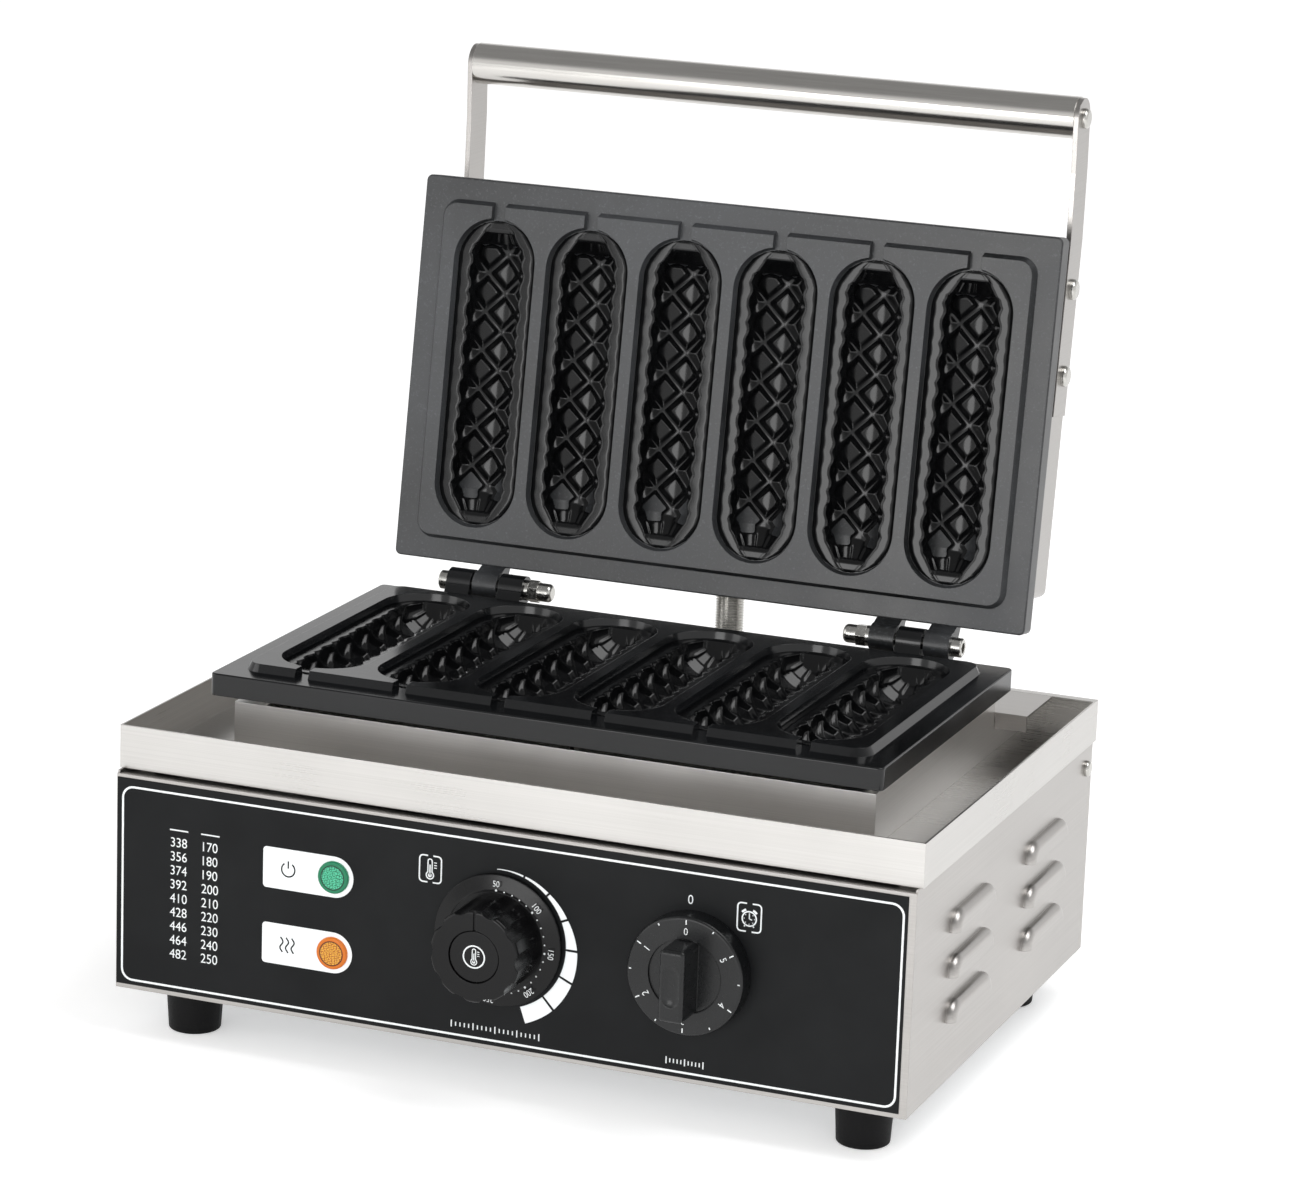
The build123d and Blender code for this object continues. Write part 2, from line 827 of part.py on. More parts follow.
def heat_shield():
    half = pedestal_half - sheet
    depth = pad_half_depth()
    low = pedestal_top - shield_drop
    middle = axis_y + plate_middle
    pan = block(-half, half, middle - depth, middle + depth, low, low + sheet)
    side = block(half - sheet, half, middle - depth, middle + depth, low,
                 low + shield_flange)
    pan += [side, mirrored(side)]
    return pan - capillary_pass()


def lower_insulation():
    half = pedestal_half - 2 * sheet - seam_gap
    depth = pad_half_depth()
    low = pedestal_top - shield_drop + sheet
    middle = axis_y + plate_middle
    pad = block(-half, half, middle - depth, middle + depth, low, low + pad_thickness)
    return pad - capillary_pass()


# Lid

def lid_hood():
    shell = block(-hood_half, hood_half, hood_front, hood_back, hood_low, hood_top)
    shell = fillet(shell.edges().filter_by(Axis.Z), hood_edge)
    shell = fillet(shell.faces().sort_by(Axis.Z)[-1].edges(), hood_edge)
    hollow = block(-hood_half + sheet, hood_half - sheet, hood_front + sheet,
                   hood_back - sheet, hood_low - overrun, hood_top - sheet)
    hollow = fillet(hollow.edges().filter_by(Axis.Z), hood_edge - sheet)
    hollow = fillet(hollow.faces().sort_by(Axis.Z)[-1].edges(), hood_edge - sheet)
    shell -= hollow
    for y in arm_screw_places():
        shell -= bar_x(arm_screw_radius + running_fit, -hood_half - overrun,
                       hood_half + overrun, y, arm_height)
    for x, y in standoff_places():
        shell -= bar_z(hood_screw_radius + running_fit, hood_top - overrun,
                       hood_top + overrun, x, y)
    return shell - bar_y(conduit_shank + running_fit, hood_back - overrun,
                         hood_back + overrun, conduit_x - conduit_shift,
                         hood_low + conduit_wall_rise)


def standoff_places():
    x = hood_half - standoff_side_inset
    ends = (hood_front + standoff_end_inset, hood_back - standoff_end_inset)
    return [(side * x, y) for side in (-1, 1) for y in ends]


def hood_standoffs():
    post = bar_z(standoff_radius, hood_low, hood_top - sheet, 0, 0)
    post -= bar_z(hood_screw_radius + running_fit, hood_top - hood_screw_length,
                  hood_top + overrun, 0, 0)
    return group([Pos(x, y, 0) * post for x, y in standoff_places()])


def hood_screws():
    head = bar_z(hood_screw_head_radius, hood_top, hood_top + hood_screw_head_length, 0, 0)
    head = fillet(head.faces().sort_by(Axis.Z)[-1].edges(), hood_screw_head_length * head_round_share)
    length = hood_screw_length - running_fit
    screw = head + bar_z(hood_screw_radius, hood_top - length, hood_top, 0, 0)
    return group([Pos(x, y, 0) * screw for x, y in standoff_places()])


def upper_insulation():
    top = hood_top - sheet
    pad = block(-hood_half + blanket_margin, hood_half - blanket_margin,
                hood_front + blanket_margin, hood_back - blanket_margin,
                top - blanket_thickness, top)
    for x, y in standoff_places():
        pad -= bar_z(standoff_radius + seam_gap, hood_low, hood_top, x, y)
    return pad


def arm_screw_places():
    return (-arm_screw_near_reach, -arm_screw_far_reach)


# The flat arm: straight along the hood, then bent down to the handle's axis
def handle_arm():
    line = Polyline(
        (-arm_rear_reach, arm_height),
        (-arm_bend_reach, arm_height),
        (-arm_knee_reach, arm_height - arm_knee_drop),
        (-handle_reach, handle_height),
    )
    ribbon = trace(line, line_width=arm_width)
    outline = ribbon + Pos(-handle_reach, handle_height) * Circle(arm_width / 2)
    start = Plane(origin=(arm_inner, 0, 0), x_dir=(0, 1, 0), z_dir=(1, 0, 0))
    bar = extrude(start * outline, amount=arm_thickness)
    for y in arm_screw_places():
        bar -= bar_x(arm_screw_radius + running_fit, 0, arm_outer + overrun, y, arm_height)
    return bar - bar_x(handle_screw_radius + running_fit, 0, arm_outer + overrun,
                       -handle_reach, handle_height)


def handle_tube():
    tube = bar_x(handle_radius, -arm_inner, arm_inner, -handle_reach, handle_height)
    return tube - bar_x(handle_radius - handle_wall, -arm_inner - overrun,
                        arm_inner + overrun, -handle_reach, handle_height)


def handle_plugs():
    radius = handle_radius - handle_wall - running_fit
    plug = bar_x(radius, arm_inner - handle_plug_length, arm_inner, -handle_reach,
                 handle_height)
    depth = handle_screw_length - arm_thickness
    plug -= bar_x(handle_screw_radius + running_fit, arm_inner - depth - running_fit,
                  arm_outer, -handle_reach, handle_height)
    return group([plug, mirrored(plug)])


# A pan-head screw along X whose head sits on the arm's outer face
def arm_screw(radius, length, head_radius, head_length, y, z):
    head = bar_x(head_radius, arm_outer, arm_outer + head_length, y, z)
    head = fillet(head.faces().sort_by(Axis.X)[-1].edges(), head_length * head_round_share)
    return head + bar_x(radius, arm_outer - length, arm_outer, y, z)


def handle_end_screws():
    screw = arm_screw(handle_screw_radius, handle_screw_length, handle_screw_head_radius,
                      handle_screw_head_length, -handle_reach, handle_height)
    return group([screw, mirrored(screw)])


def arm_screws():
    screws = [arm_screw(arm_screw_radius, arm_screw_length, arm_screw_head_radius,
                        arm_screw_head_length, y, arm_height) for y in arm_screw_places()]
    return group(screws + [mirrored(screw) for screw in screws])


def arm_nuts():
    start = hood_half - sheet
    nuts = []
    for y in arm_screw_places():
        plane = Plane(origin=(start, y, arm_height), z_dir=(-1, 0, 0))
        nut = hexagon(plane, arm_nut_across, arm_nut_length)
        nut -= bar_x(arm_screw_radius + running_fit, 0, hood_half, y, arm_height)
        nuts += [nut, mirrored(nut)]
    return group(nuts)


# Ribbed wire conduit, straight between two ferrules while the lid is open

# Where the conduit's axis meets the deck and the hood's hinge-side wall
def conduit_ends():
    foot = Vector(conduit_x, axis_y + conduit_from_axis, rim_z)
    head = in_lid(Pos(conduit_x - conduit_shift, hood_back, hood_low + conduit_wall_rise))
    return foot, head.position


# A plane square to the conduit, at a distance along it from the deck
def conduit_plane(distance):
    foot, head = conduit_ends()
    along = (head - foot).normalized()
    return Plane(origin=foot + along * distance, x_dir=(0, along.Z, -along.Y), z_dir=along)


def conduit_length():
    foot, head = conduit_ends()
    return (head - foot).length


def wire_conduit():
    start = ferrule_seat + running_fit
    ribs = int((conduit_length() - 2 * start) / rib_pitch)
    pitch = (conduit_length() - 2 * start) / ribs
    circles = []
    for rib in range(ribs):
        for share, radius in zip(rib_step_shares, rib_radii()):
            plane = conduit_plane(start + (rib + share) * pitch)
            circles.append(plane * Circle(radius))
    hose = loft(circles, ruled=True)
    return hose - conduit_bar(conduit_bore, 0, conduit_length())


def rib_radii():
    valley = conduit_radius - conduit_groove
    return (conduit_radius, conduit_radius, valley, valley)


# A round bar along the conduit's axis
def conduit_bar(radius, start, end):
    return extrude(conduit_plane(start) * Circle(radius), amount=end - start)


# The deck end: a cup for the conduit on a threaded shank through the deck
def lower_ferrule():
    outer = conduit_radius + ferrule_wall
    cup = conduit_bar(outer, -ferrule_height, ferrule_height)
    cup &= block(-tray_half, tray_half, pedestal_back, body_depth, rim_z, axis_z)
    foot, head = conduit_ends()
    cup += bar_z(conduit_shank, rim_z - sheet - conduit_nut_length, rim_z, foot.X, foot.Y)
    cup -= conduit_bar(conduit_radius + running_fit, ferrule_seat, 2 * ferrule_height)
    return cup - conduit_bar(conduit_bore, -2 * body_depth, axis_z)


def upper_ferrule():
    outer = conduit_radius + ferrule_wall
    length = conduit_length()
    cup = conduit_bar(outer, length - ferrule_height, length + ferrule_height)
    cup &= in_lid(block(-hood_half, hood_half, hood_back, body_depth, -hood_height, hood_top))
    cup += in_lid(bar_y(conduit_shank, hood_back - sheet - conduit_nut_length, hood_back,
                        conduit_x - conduit_shift, hood_low + conduit_wall_rise))
    cup -= conduit_bar(conduit_radius + running_fit, length - 2 * ferrule_height,
                       length - ferrule_seat)
    return cup - conduit_bar(conduit_bore, 0, length + body_depth)


def conduit_lower_nut():
    foot, head = conduit_ends()
    low = rim_z - sheet - conduit_nut_length
    nut = hexagon(Plane(origin=(foot.X, foot.Y, low)), conduit_nut_across,
                  conduit_nut_length)
    return nut - bar_z(conduit_shank + running_fit, 0, rim_z, foot.X, foot.Y)


def conduit_upper_nut():
    x = conduit_x - conduit_shift
    z = hood_low + conduit_wall_rise
    plane = Plane(origin=(x, hood_back - sheet, z), x_dir=(1, 0, 0), z_dir=(0, -1, 0))
    nut = hexagon(plane, conduit_nut_across, conduit_nut_length)
    return nut - bar_y(conduit_shank + running_fit, hood_front, hood_back, x, z)


# Controls, each about an axis along Y through the front panel

# A turned piece whose profile gives radius and distance ahead of its back face
def turned(profile, x, back):
    outline = make_face(Polyline(*profile, profile[0]))
    return Pos(x, back, control_z) * Rot(90, 0, 0) * revolve(
        Plane.XZ * outline, Axis.Z)


def knob_back():
    return overlay_front - knob_standoff


def shaft(x, reach):
    return bar_y(shaft_radius, knob_back() - reach, panel_back + shaft_bite, x, control_z)


def shaft_socket(x):
    return bar_y(shaft_radius + running_fit, knob_back() - shaft_cap_depth - running_fit,
                 overlay_front, x, control_z)


def temperature_dial():
    profile = [
        (0, 0),
        (skirt_radius, 0),
        (skirt_radius, skirt_rim),
        (skirt_land_radius + skirt_land_height, skirt_thickness - skirt_land_height),
        (skirt_land_radius, skirt_thickness),
        (0, skirt_thickness),
    ]
    return turned(profile, thermostat_x, knob_back()) - shaft_socket(thermostat_x)


def temperature_knob():
    back = knob_back() - skirt_thickness
    front = back - grip_length
    grip = bar_y(grip_radius, front, back, thermostat_x, control_z)
    grip = fillet(grip.faces().sort_by(Axis.Y)[0].edges(), grip_edge)
    reach = grip_radius + flute_radius - flute_depth
    for i in range(grip_flutes):
        angle = math.radians((2 * i + 1) * 180 / grip_flutes + 90)
        grip -= bar_y(flute_radius, front - overrun, back + overrun,
                      thermostat_x + reach * math.cos(angle),
                      control_z + reach * math.sin(angle))
    grip -= bar_y(cap_radius + seam_gap, front - overrun, front + cap_recess,
                  thermostat_x, control_z)
    grip -= block(thermostat_x - pointer_width / 2, thermostat_x + pointer_width / 2,
                  front - overrun, front + pointer_depth, control_z + cap_radius,
                  control_z + grip_radius + overrun)
    return grip - shaft_socket(thermostat_x)


def temperature_cap():
    floor = knob_back() - skirt_thickness - grip_length + cap_recess
    cap = bar_y(cap_radius, floor - cap_thickness, floor, thermostat_x, control_z)
    return chamfer(cap.faces().sort_by(Axis.Y)[0].edges(), cap_thickness / 2)


def timer_knob():
    back = knob_back()
    front = back - timer_skirt_thickness
    floor = front + timer_hub_recess
    dial = bar_y(timer_skirt_radius, front, back, timer_x, control_z)
    dial = fillet(dial.faces().sort_by(Axis.Y)[0].edges(), timer_rim)
    dial -= bar_y(timer_hub_radius, front - overrun, floor, timer_x, control_z)
    top = floor - bar_height
    bar = block(timer_x - bar_width / 2, timer_x + bar_width / 2, top, floor,
                control_z - bar_length / 2, control_z + bar_length / 2)
    bar = fillet(bar.edges().filter_by(Axis.Y), bar_edge)
    bar = fillet(bar.faces().sort_by(Axis.Y)[0].edges(), bar_edge)
    dip = Pos(timer_x, top - dimple_radius + dimple_depth, control_z)
    ends = [dip * Pos(0, 0, side * dimple_reach) * Sphere(dimple_radius) for side in (-1, 1)]
    bar -= ends + [dip * Cylinder(dimple_radius, 2 * dimple_reach)]
    return dial + bar - shaft_socket(timer_x)


# The box behind the panel that a knob works, with its threaded bush
def control_body(x, width, height, depth):
    box = block(x - width / 2, x + width / 2, panel_back, panel_back + depth,
                control_z - height / 2, control_z + height / 2)
    box = fillet(box.edges().filter_by(Axis.Y), control_body_edge)
    box += bar_y(bush_radius, overlay_front - knob_standoff / 2, panel_back, x, control_z)
    box -= bar_y(shaft_radius + running_fit, overlay_front - overrun,
                 panel_back + shaft_bite + seam_gap, x, control_z)
    for side in (-1, 1):
        box -= bar_y(control_screw_radius + running_fit, body_front,
                     body_front + control_screw_length + seam_gap,
                     x + side * control_screw_spread, control_z)
    return box


def control_screws():
    screws = []
    for x in (thermostat_x, timer_x):
        for side in (-1, 1):
            place = x + side * control_screw_spread
            screw = bar_y(control_screw_radius, body_front,
                          body_front + control_screw_length, place, control_z)
            screw += bar_y(control_screw_head_radius,
                           body_front - control_screw_head_length, body_front,
                           place, control_z)
            screws.append(screw)
    return group(screws)


# Thermostat bulb in its groove under the lower casting, with the capillary tube
def thermostat_bulb():
    bulb_z = axis_z + slab_bottom
    middle = axis_y + plate_middle
    bulb = bar_y(bulb_radius, middle - bulb_length / 2, middle + bulb_length / 2, 0, bulb_z)
    start = (0, middle - bulb_length / 2, bulb_z - capillary_radius - running_fit)
    route = FilletPolyline(
        start,
        (0, start[1] - capillary_run, start[2]),
        (0, start[1] - capillary_run, control_z),
        (0, panel_back + control_body_depth, control_z),
        radius=capillary_bend,
    )
    tube = sweep(Plane(origin=start, z_dir=route % 0) * Circle(capillary_radius), path=route)
    return bulb + tube


def capillary_pass():
    y = axis_y + plate_middle - bulb_length / 2 - capillary_run
    return bar_z(wire_pass_radius, 0, axis_z, 0, y)


# Indicator lamps

def lamp_lens(z):
    lens = bar_y(lamp_lens_radius, overlay_front - lamp_lens_thickness, overlay_front,
                 lamp_x, z)
    return fillet(lens.faces().sort_by(Axis.Y)[0].edges(), lamp_lens_edge)


def lamp_bodies():
    bodies = []
    for z in lamp_heights():
        rear = panel_back + lamp_body_length
        body = bar_y(lamp_body_radius, overlay_front, rear, lamp_x, z)
        for side in (-1, 1):
            x = lamp_x + side * lamp_pin_spread
            body += block(x - lamp_pin_thickness / 2, x + lamp_pin_thickness / 2, rear,
                          rear + lamp_pin_length, z - lamp_pin_width / 2,
                          z + lamp_pin_width / 2)
        bodies.append(body)
    return group(bodies)


def lamp_nuts():
    nuts = []
    for z in lamp_heights():
        nut = bar_y(lamp_nut_radius, panel_back, panel_back + lamp_nut_length, lamp_x, z)
        nut -= bar_y(lamp_body_radius + running_fit, body_front, body_back, lamp_x, z)
        nuts.append(nut)
    return group(nuts)


# Terminal block on the bottom plate, and the cord's inlet gland in the back wall

def block_way_places():
    pitch = block_width / block_ways
    return [inlet_x + (i - (block_ways - 1) / 2) * pitch for i in range(block_ways)]


def block_y():
    return body_back - sheet - block_rear_gap


def terminal_block():
    low = body_bottom + sheet
    front = block_y() - block_depth / 2
    back = block_y() + block_depth / 2
    left = inlet_x - block_width / 2
    right = inlet_x + block_width / 2
    body = block(left, right, front, back, low, low + block_step)
    body += block(left, right, front + block_depth / 4, back - block_depth / 4, low,
                  low + block_height)
    for x in block_way_places():
        body -= bar_z(block_way_radius, low + block_height - block_way_depth, axis_z, x,
                      block_y())
    return body


def terminal_screws():
    floor = body_bottom + sheet + block_height - block_way_depth
    screw = bar_z(block_way_radius - seam_gap, floor, floor + block_way_depth / 2, 0, 0)
    return group([Pos(x, block_y(), 0) * screw for x in block_way_places()])


def cord_inlet():
    z = body_bottom + inlet_height
    wall = Plane(origin=(inlet_x, body_back, z), x_dir=(1, 0, 0), z_dir=(0, 1, 0))
    gland = hexagon(wall, 2 * inlet_radius, inlet_hex_length)
    dome = bar_y(inlet_radius, body_back + inlet_hex_length, body_back + inlet_length,
                 inlet_x, z)
    dome = fillet(dome.faces().sort_by(Axis.Y)[-1].edges(), inlet_radius / 3)
    gland += dome
    gland += bar_y(inlet_shank_radius, body_back - sheet - inlet_nut_length - sheet,
                   body_back, inlet_x, z)
    return gland - bar_y(inlet_bore, 0, body_depth, inlet_x, z)


def inlet_nut():
    z = body_bottom + inlet_height
    wall = Plane(origin=(inlet_x, body_back - sheet, z), x_dir=(1, 0, 0), z_dir=(0, -1, 0))
    nut = hexagon(wall, inlet_nut_across, inlet_nut_length)
    return nut - bar_y(inlet_shank_radius + running_fit, 0, body_back, inlet_x, z)


# Everything together
def build():
    lower = casting()
    upper = Rot(0, 180, 0) * lower
    element = heating_element()
    pieces = {
        "body_shell": body_shell(),
        "front_panel": front_panel(),
        "control_overlay": control_overlay(),
        "bottom_plate": bottom_plate(),
        "feet": at_feet(foot()),
        "foot_screws": at_feet(foot_screw()),
        "foot_nuts": at_feet(foot_nut()),
        "side_screws": side_screws(),
        "top_tray": top_tray(),
        "pedestal": pedestal(),
        "rear_deck": rear_deck(),
        "plate_spacers": plate_spacers(),
        "plate_bolts": plate_bolts(),
        "heat_shield": heat_shield(),
        "lower_insulation": lower_insulation(),
        "lower_casting": at_axis(lower),
        "lower_heating_element": at_axis(element),
        "upper_casting": in_lid(upper),
        "upper_heating_element": in_lid(Rot(0, 180, 0) * element),
        "hinge_bolt_left": at_axis(hinge_bolt()),
        "hinge_washer_left": at_axis(hinge_washer()),
        "hinge_nuts_left": at_axis(hinge_nuts()),
        "hinge_bolt_right": in_lid(mirrored(hinge_bolt())),
        "hinge_washer_right": in_lid(mirrored(hinge_washer())),
        "hinge_nuts_right": in_lid(mirrored(hinge_nuts())),
        "lid_hood": in_lid(lid_hood()),
        "hood_standoffs": in_lid(hood_standoffs()),
        "hood_screws": in_lid(hood_screws()),
        "upper_insulation": in_lid(upper_insulation()),
        "handle_arm_right": in_lid(handle_arm()),
        "handle_arm_left": in_lid(mirrored(handle_arm())),
        "handle_tube": in_lid(handle_tube()),
        "handle_plugs": in_lid(handle_plugs()),
        "handle_end_screws": in_lid(handle_end_screws()),
        "arm_screws": in_lid(arm_screws()),
        "arm_nuts": in_lid(arm_nuts()),
        "wire_conduit": wire_conduit(),
        "conduit_lower_ferrule": lower_ferrule(),
        "conduit_lower_nut": conduit_lower_nut(),
        "conduit_upper_ferrule": upper_ferrule(),
        "conduit_upper_nut": in_lid(conduit_upper_nut()),
        "thermostat_body": control_body(thermostat_x, control_body_width,
                                        control_body_height, control_body_depth),
        "thermostat_bulb": thermostat_bulb(),
        "thermostat_shaft": shaft(thermostat_x, shaft_cap_depth),
        "temperature_dial": temperature_dial(),
        "temperature_knob": temperature_knob(),
        "temperature_cap": temperature_cap(),
        "timer_body": control_body(timer_x, timer_body_width, timer_body_height,
                                   timer_body_depth),
        "timer_shaft": shaft(timer_x, shaft_cap_depth),
        "timer_knob": timer_knob(),
        "control_screws": control_screws(),
        "power_lamp_lens": lamp_lens(lamp_heights()[0]),
        "heat_lamp_lens": lamp_lens(lamp_heights()[1]),
        "lamp_bodies": lamp_bodies(),
        "lamp_nuts": lamp_nuts(),
        "terminal_block": terminal_block(),
        "terminal_screws": terminal_screws(),
        "cord_inlet": cord_inlet(),
        "inlet_nut": inlet_nut(),
    }
    return pieces


pieces = build()
os.makedirs("parts", exist_ok=True)
boxes = [shape.bounding_box() for shape in pieces.values()]
shift = -(min(box.min.Y for box in boxes) + max(box.max.Y for box in boxes)) / 2
print("shift along Y", round(shift, 4))
print("lid axis", round(axis_y + shift, 4), round(axis_z, 4))
print("knob axes", thermostat_x, timer_x, round(knob_back() + shift, 4), control_z)
for name, shape in pieces.items():
    export_step(Pos(0, shift, 0) * shape, f"parts/{name}.step")
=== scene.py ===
import bpy
import json
import math
import numpy as np
from mathutils import Matrix, Vector


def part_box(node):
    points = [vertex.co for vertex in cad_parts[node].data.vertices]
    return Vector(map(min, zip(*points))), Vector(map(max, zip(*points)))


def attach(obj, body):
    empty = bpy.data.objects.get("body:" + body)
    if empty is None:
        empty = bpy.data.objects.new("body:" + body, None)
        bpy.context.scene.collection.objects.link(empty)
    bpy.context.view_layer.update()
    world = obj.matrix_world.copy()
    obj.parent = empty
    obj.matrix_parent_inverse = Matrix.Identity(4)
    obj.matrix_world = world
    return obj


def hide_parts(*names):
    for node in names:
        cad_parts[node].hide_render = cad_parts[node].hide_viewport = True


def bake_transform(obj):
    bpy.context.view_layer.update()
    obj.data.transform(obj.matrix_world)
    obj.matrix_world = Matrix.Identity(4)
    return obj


# Six-mould corn dog maker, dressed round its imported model. Places and sizes of pieces are
# in millimetres, in the model's own frame, and those of materials, the floor, lamps and
# the camera are in metres.
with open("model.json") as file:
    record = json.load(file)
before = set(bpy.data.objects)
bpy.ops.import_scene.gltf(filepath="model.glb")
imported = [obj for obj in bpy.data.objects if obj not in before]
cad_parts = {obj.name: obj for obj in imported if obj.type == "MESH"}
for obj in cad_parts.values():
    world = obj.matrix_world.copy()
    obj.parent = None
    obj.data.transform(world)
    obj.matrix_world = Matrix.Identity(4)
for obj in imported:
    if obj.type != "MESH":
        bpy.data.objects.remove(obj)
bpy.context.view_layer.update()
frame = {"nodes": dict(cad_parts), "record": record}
mm = 0.001
print("frame loaded:", len(frame["nodes"]), "nodes")


# Nodes and colours

# sRGB hex to the linear colour that shaders take: each channel over 12.92 where it is
# dark, and (channel + 0.055) / 1.055 to the power 2.4 elsewhere
def linearColour(hexCode):
    parts = [int(hexCode[i:i + 2], 16) / 255 for i in (0, 2, 4)]
    return [p / 12.92 if p <= 0.04045 else ((p + 0.055) / 1.055) ** 2.4 for p in parts] + [1.0]


# Adds one node. Settings are its sockets or properties, and links give each socket's
# source, which is an output or a node that stands for its first output
def addNode(tree, kind, settings=None, links=None):
    node = tree.nodes.new(kind)
    for name, value in (settings or {}).items():
        if isinstance(name, int) or name in node.inputs:
            node.inputs[name].default_value = value
        else:
            setattr(node, name, value)
    for socket, source in (links or {}).items():
        output = source.outputs[0] if isinstance(source, bpy.types.Node) else source
        tree.links.new(output, node.inputs[socket])
    return node


# A material with its shader, its object coordinates and its noises. Each noise has its
# repeats per metre along X, Y and Z, its detail and its roughness
def newMaterial(name, shaderSettings, noises=()):
    material = bpy.data.materials.new(name)
    material.use_nodes = True
    tree = material.node_tree
    tree.nodes.clear()
    shader = addNode(tree, "ShaderNodeBsdfPrincipled", shaderSettings)
    addNode(tree, "ShaderNodeOutputMaterial", links={"Surface": shader})
    place = addNode(tree, "ShaderNodeTexCoord").outputs["Object"]
    made = []
    for repeats, detail, roughness in noises:
        mapped = addNode(tree, "ShaderNodeMapping", {"Scale": repeats}, {"Vector": place})
        made.append(addNode(tree, "ShaderNodeTexNoise",
                            {"Scale": 1.0, "Detail": detail, "Roughness": roughness}, {"Vector": mapped}))
    return material, tree, shader, place, made


# Links a finish to its shader: a colour between two hexes by a factor, a roughness that
# follows a pattern from one value to another, and relief of (height, strength,
# distance) laid over one another on edges that are rounded to a radius
def dressShader(tree, shader, hexes, factor, pattern, used, roughRange, relief, edge=0.0004):
    first, second = [linearColour(code) for code in hexes]
    colour = addNode(tree, "ShaderNodeMix", {"data_type": "RGBA", 6: first, 7: second}, {0: factor})
    tree.links.new(colour.outputs[2], shader.inputs["Base Color"])
    rough = addNode(tree, "ShaderNodeMapRange", {"From Min": used[0], "From Max": used[1],
                                                 "To Min": roughRange[0], "To Max": roughRange[1]},
                    {"Value": pattern})
    tree.links.new(rough.outputs[0], shader.inputs["Roughness"])
    normal = addNode(tree, "ShaderNodeBevel", {"samples": 4, "Radius": edge})
    for height, strength, distance in relief:
        normal = addNode(tree, "ShaderNodeBump", {"Strength": strength, "Distance": distance},
                         {"Height": height, "Normal": normal})
    tree.links.new(normal.outputs[0], shader.inputs["Normal"])


# Materials, each named for the real finish

sheetPattern = {
    "noises": (((6, 900, 1900), 3.0, 0.5), ((900, 6, 1900), 3.0, 0.5), ((9, 9, 9), 3.0, 0.6)),
    "sideFace": 0.7,                    # least X of the normal of a face that looks sideways
    "smudge": (0.3, 0.7),               # part of the smudges' noise that shows
    "tintShares": (0.7, 0.3), "tintUsed": (0.3, 0.8),       # scratches and smudges in the colour
    "roughShares": (0.5, 0.5), "roughUsed": (0.25, 0.75),   # and in the roughness
    "depth": 0.0002,
}


# Type 304 sheet with a satin brushed finish: straight scratches along each panel, 0.5 mm
# apart on upright faces and 1 mm on flat ones, coarser than the real 0.1 mm so that they
# show, and broad soft smudges from handling. Sideways faces take scratches along Y, and
# the colour and the roughness each add a share of scratches to a share of smudges
def brushedStainless(name, colours, roughRange, grain):
    s = sheetPattern
    material, tree, shader, _, (alongX, alongY, smudges) = newMaterial(name, {"Metallic": 1.0}, s["noises"])
    normal = addNode(tree, "ShaderNodeNewGeometry").outputs["Normal"]
    parts = addNode(tree, "ShaderNodeSeparateXYZ", links={0: normal})
    sideways = addNode(tree, "ShaderNodeMath", {"operation": "ABSOLUTE"}, {0: parts})
    onSide = addNode(tree, "ShaderNodeMath", {"operation": "GREATER_THAN", 1: s["sideFace"]}, {0: sideways})
    scratches = addNode(tree, "ShaderNodeMix", links={0: onSide, 2: alongX, 3: alongY})
    sums = []
    for scratchShare, smudgeShare in (s["tintShares"], s["roughShares"]):
        cloud = addNode(tree, "ShaderNodeMapRange", {"From Min": s["smudge"][0], "From Max": s["smudge"][1],
                                                     "To Max": smudgeShare}, {"Value": smudges})
        sums.append(addNode(tree, "ShaderNodeMath", {"operation": "MULTIPLY_ADD", 1: scratchShare},
                            {0: scratches, 2: cloud}))
    tint = addNode(tree, "ShaderNodeMapRange", {"From Min": s["tintUsed"][0], "From Max": s["tintUsed"][1]},
                   {"Value": sums[0]})
    dressShader(tree, shader, colours, tint, sums[1], s["roughUsed"], roughRange,
                [(scratches, grain, s["depth"])])
    return material


metalPattern = {"detail": 3.0, "used": (0.3, 0.7), "depth": 0.0001}


# Bare metal: one noise is the colour, the roughness and the relief, and it only breaks the
# highlights. Its sizes are draw lines 1.1 mm wide and 33 mm long on the tube, spangles of
# 11 mm on galvanised sheet, and a grain of 2 to 2.5 mm on plate, brass and the heaters'
# sheath, which is coarser than the real one so that it shows
def brightMetal(name, colours, roughRange, repeats, grain=0.15):
    m = metalPattern
    material, tree, shader, _, (wander,) = newMaterial(name, {"Metallic": 1.0}, [(repeats, m["detail"], 0.5)])
    dressShader(tree, shader, colours, wander, wander, m["used"], roughRange, [(wander, grain, m["depth"])])
    return material


coatPattern = {
    "noises": (((1600, 1600, 1600), 2.0, 0.5), ((700, 700, 700), 3.0, 0.7), ((14, 14, 14), 4.0, 0.6)),
    "specksUsed": (0.56, 0.8),                          # only the peaks of the noise are specks
    "patchUsed": (0.35, 0.7), "patchTint": 0.5,
    "patchRough": ((0.3, 0.7), 0.6), "speckRough": 0.4, "roughUsed": (0.2, 0.8),
    "patchRelief": (0.25, 0.0006), "speckDepth": 0.0002, "grainShare": 0.7, "grainDepth": 0.0001,
}


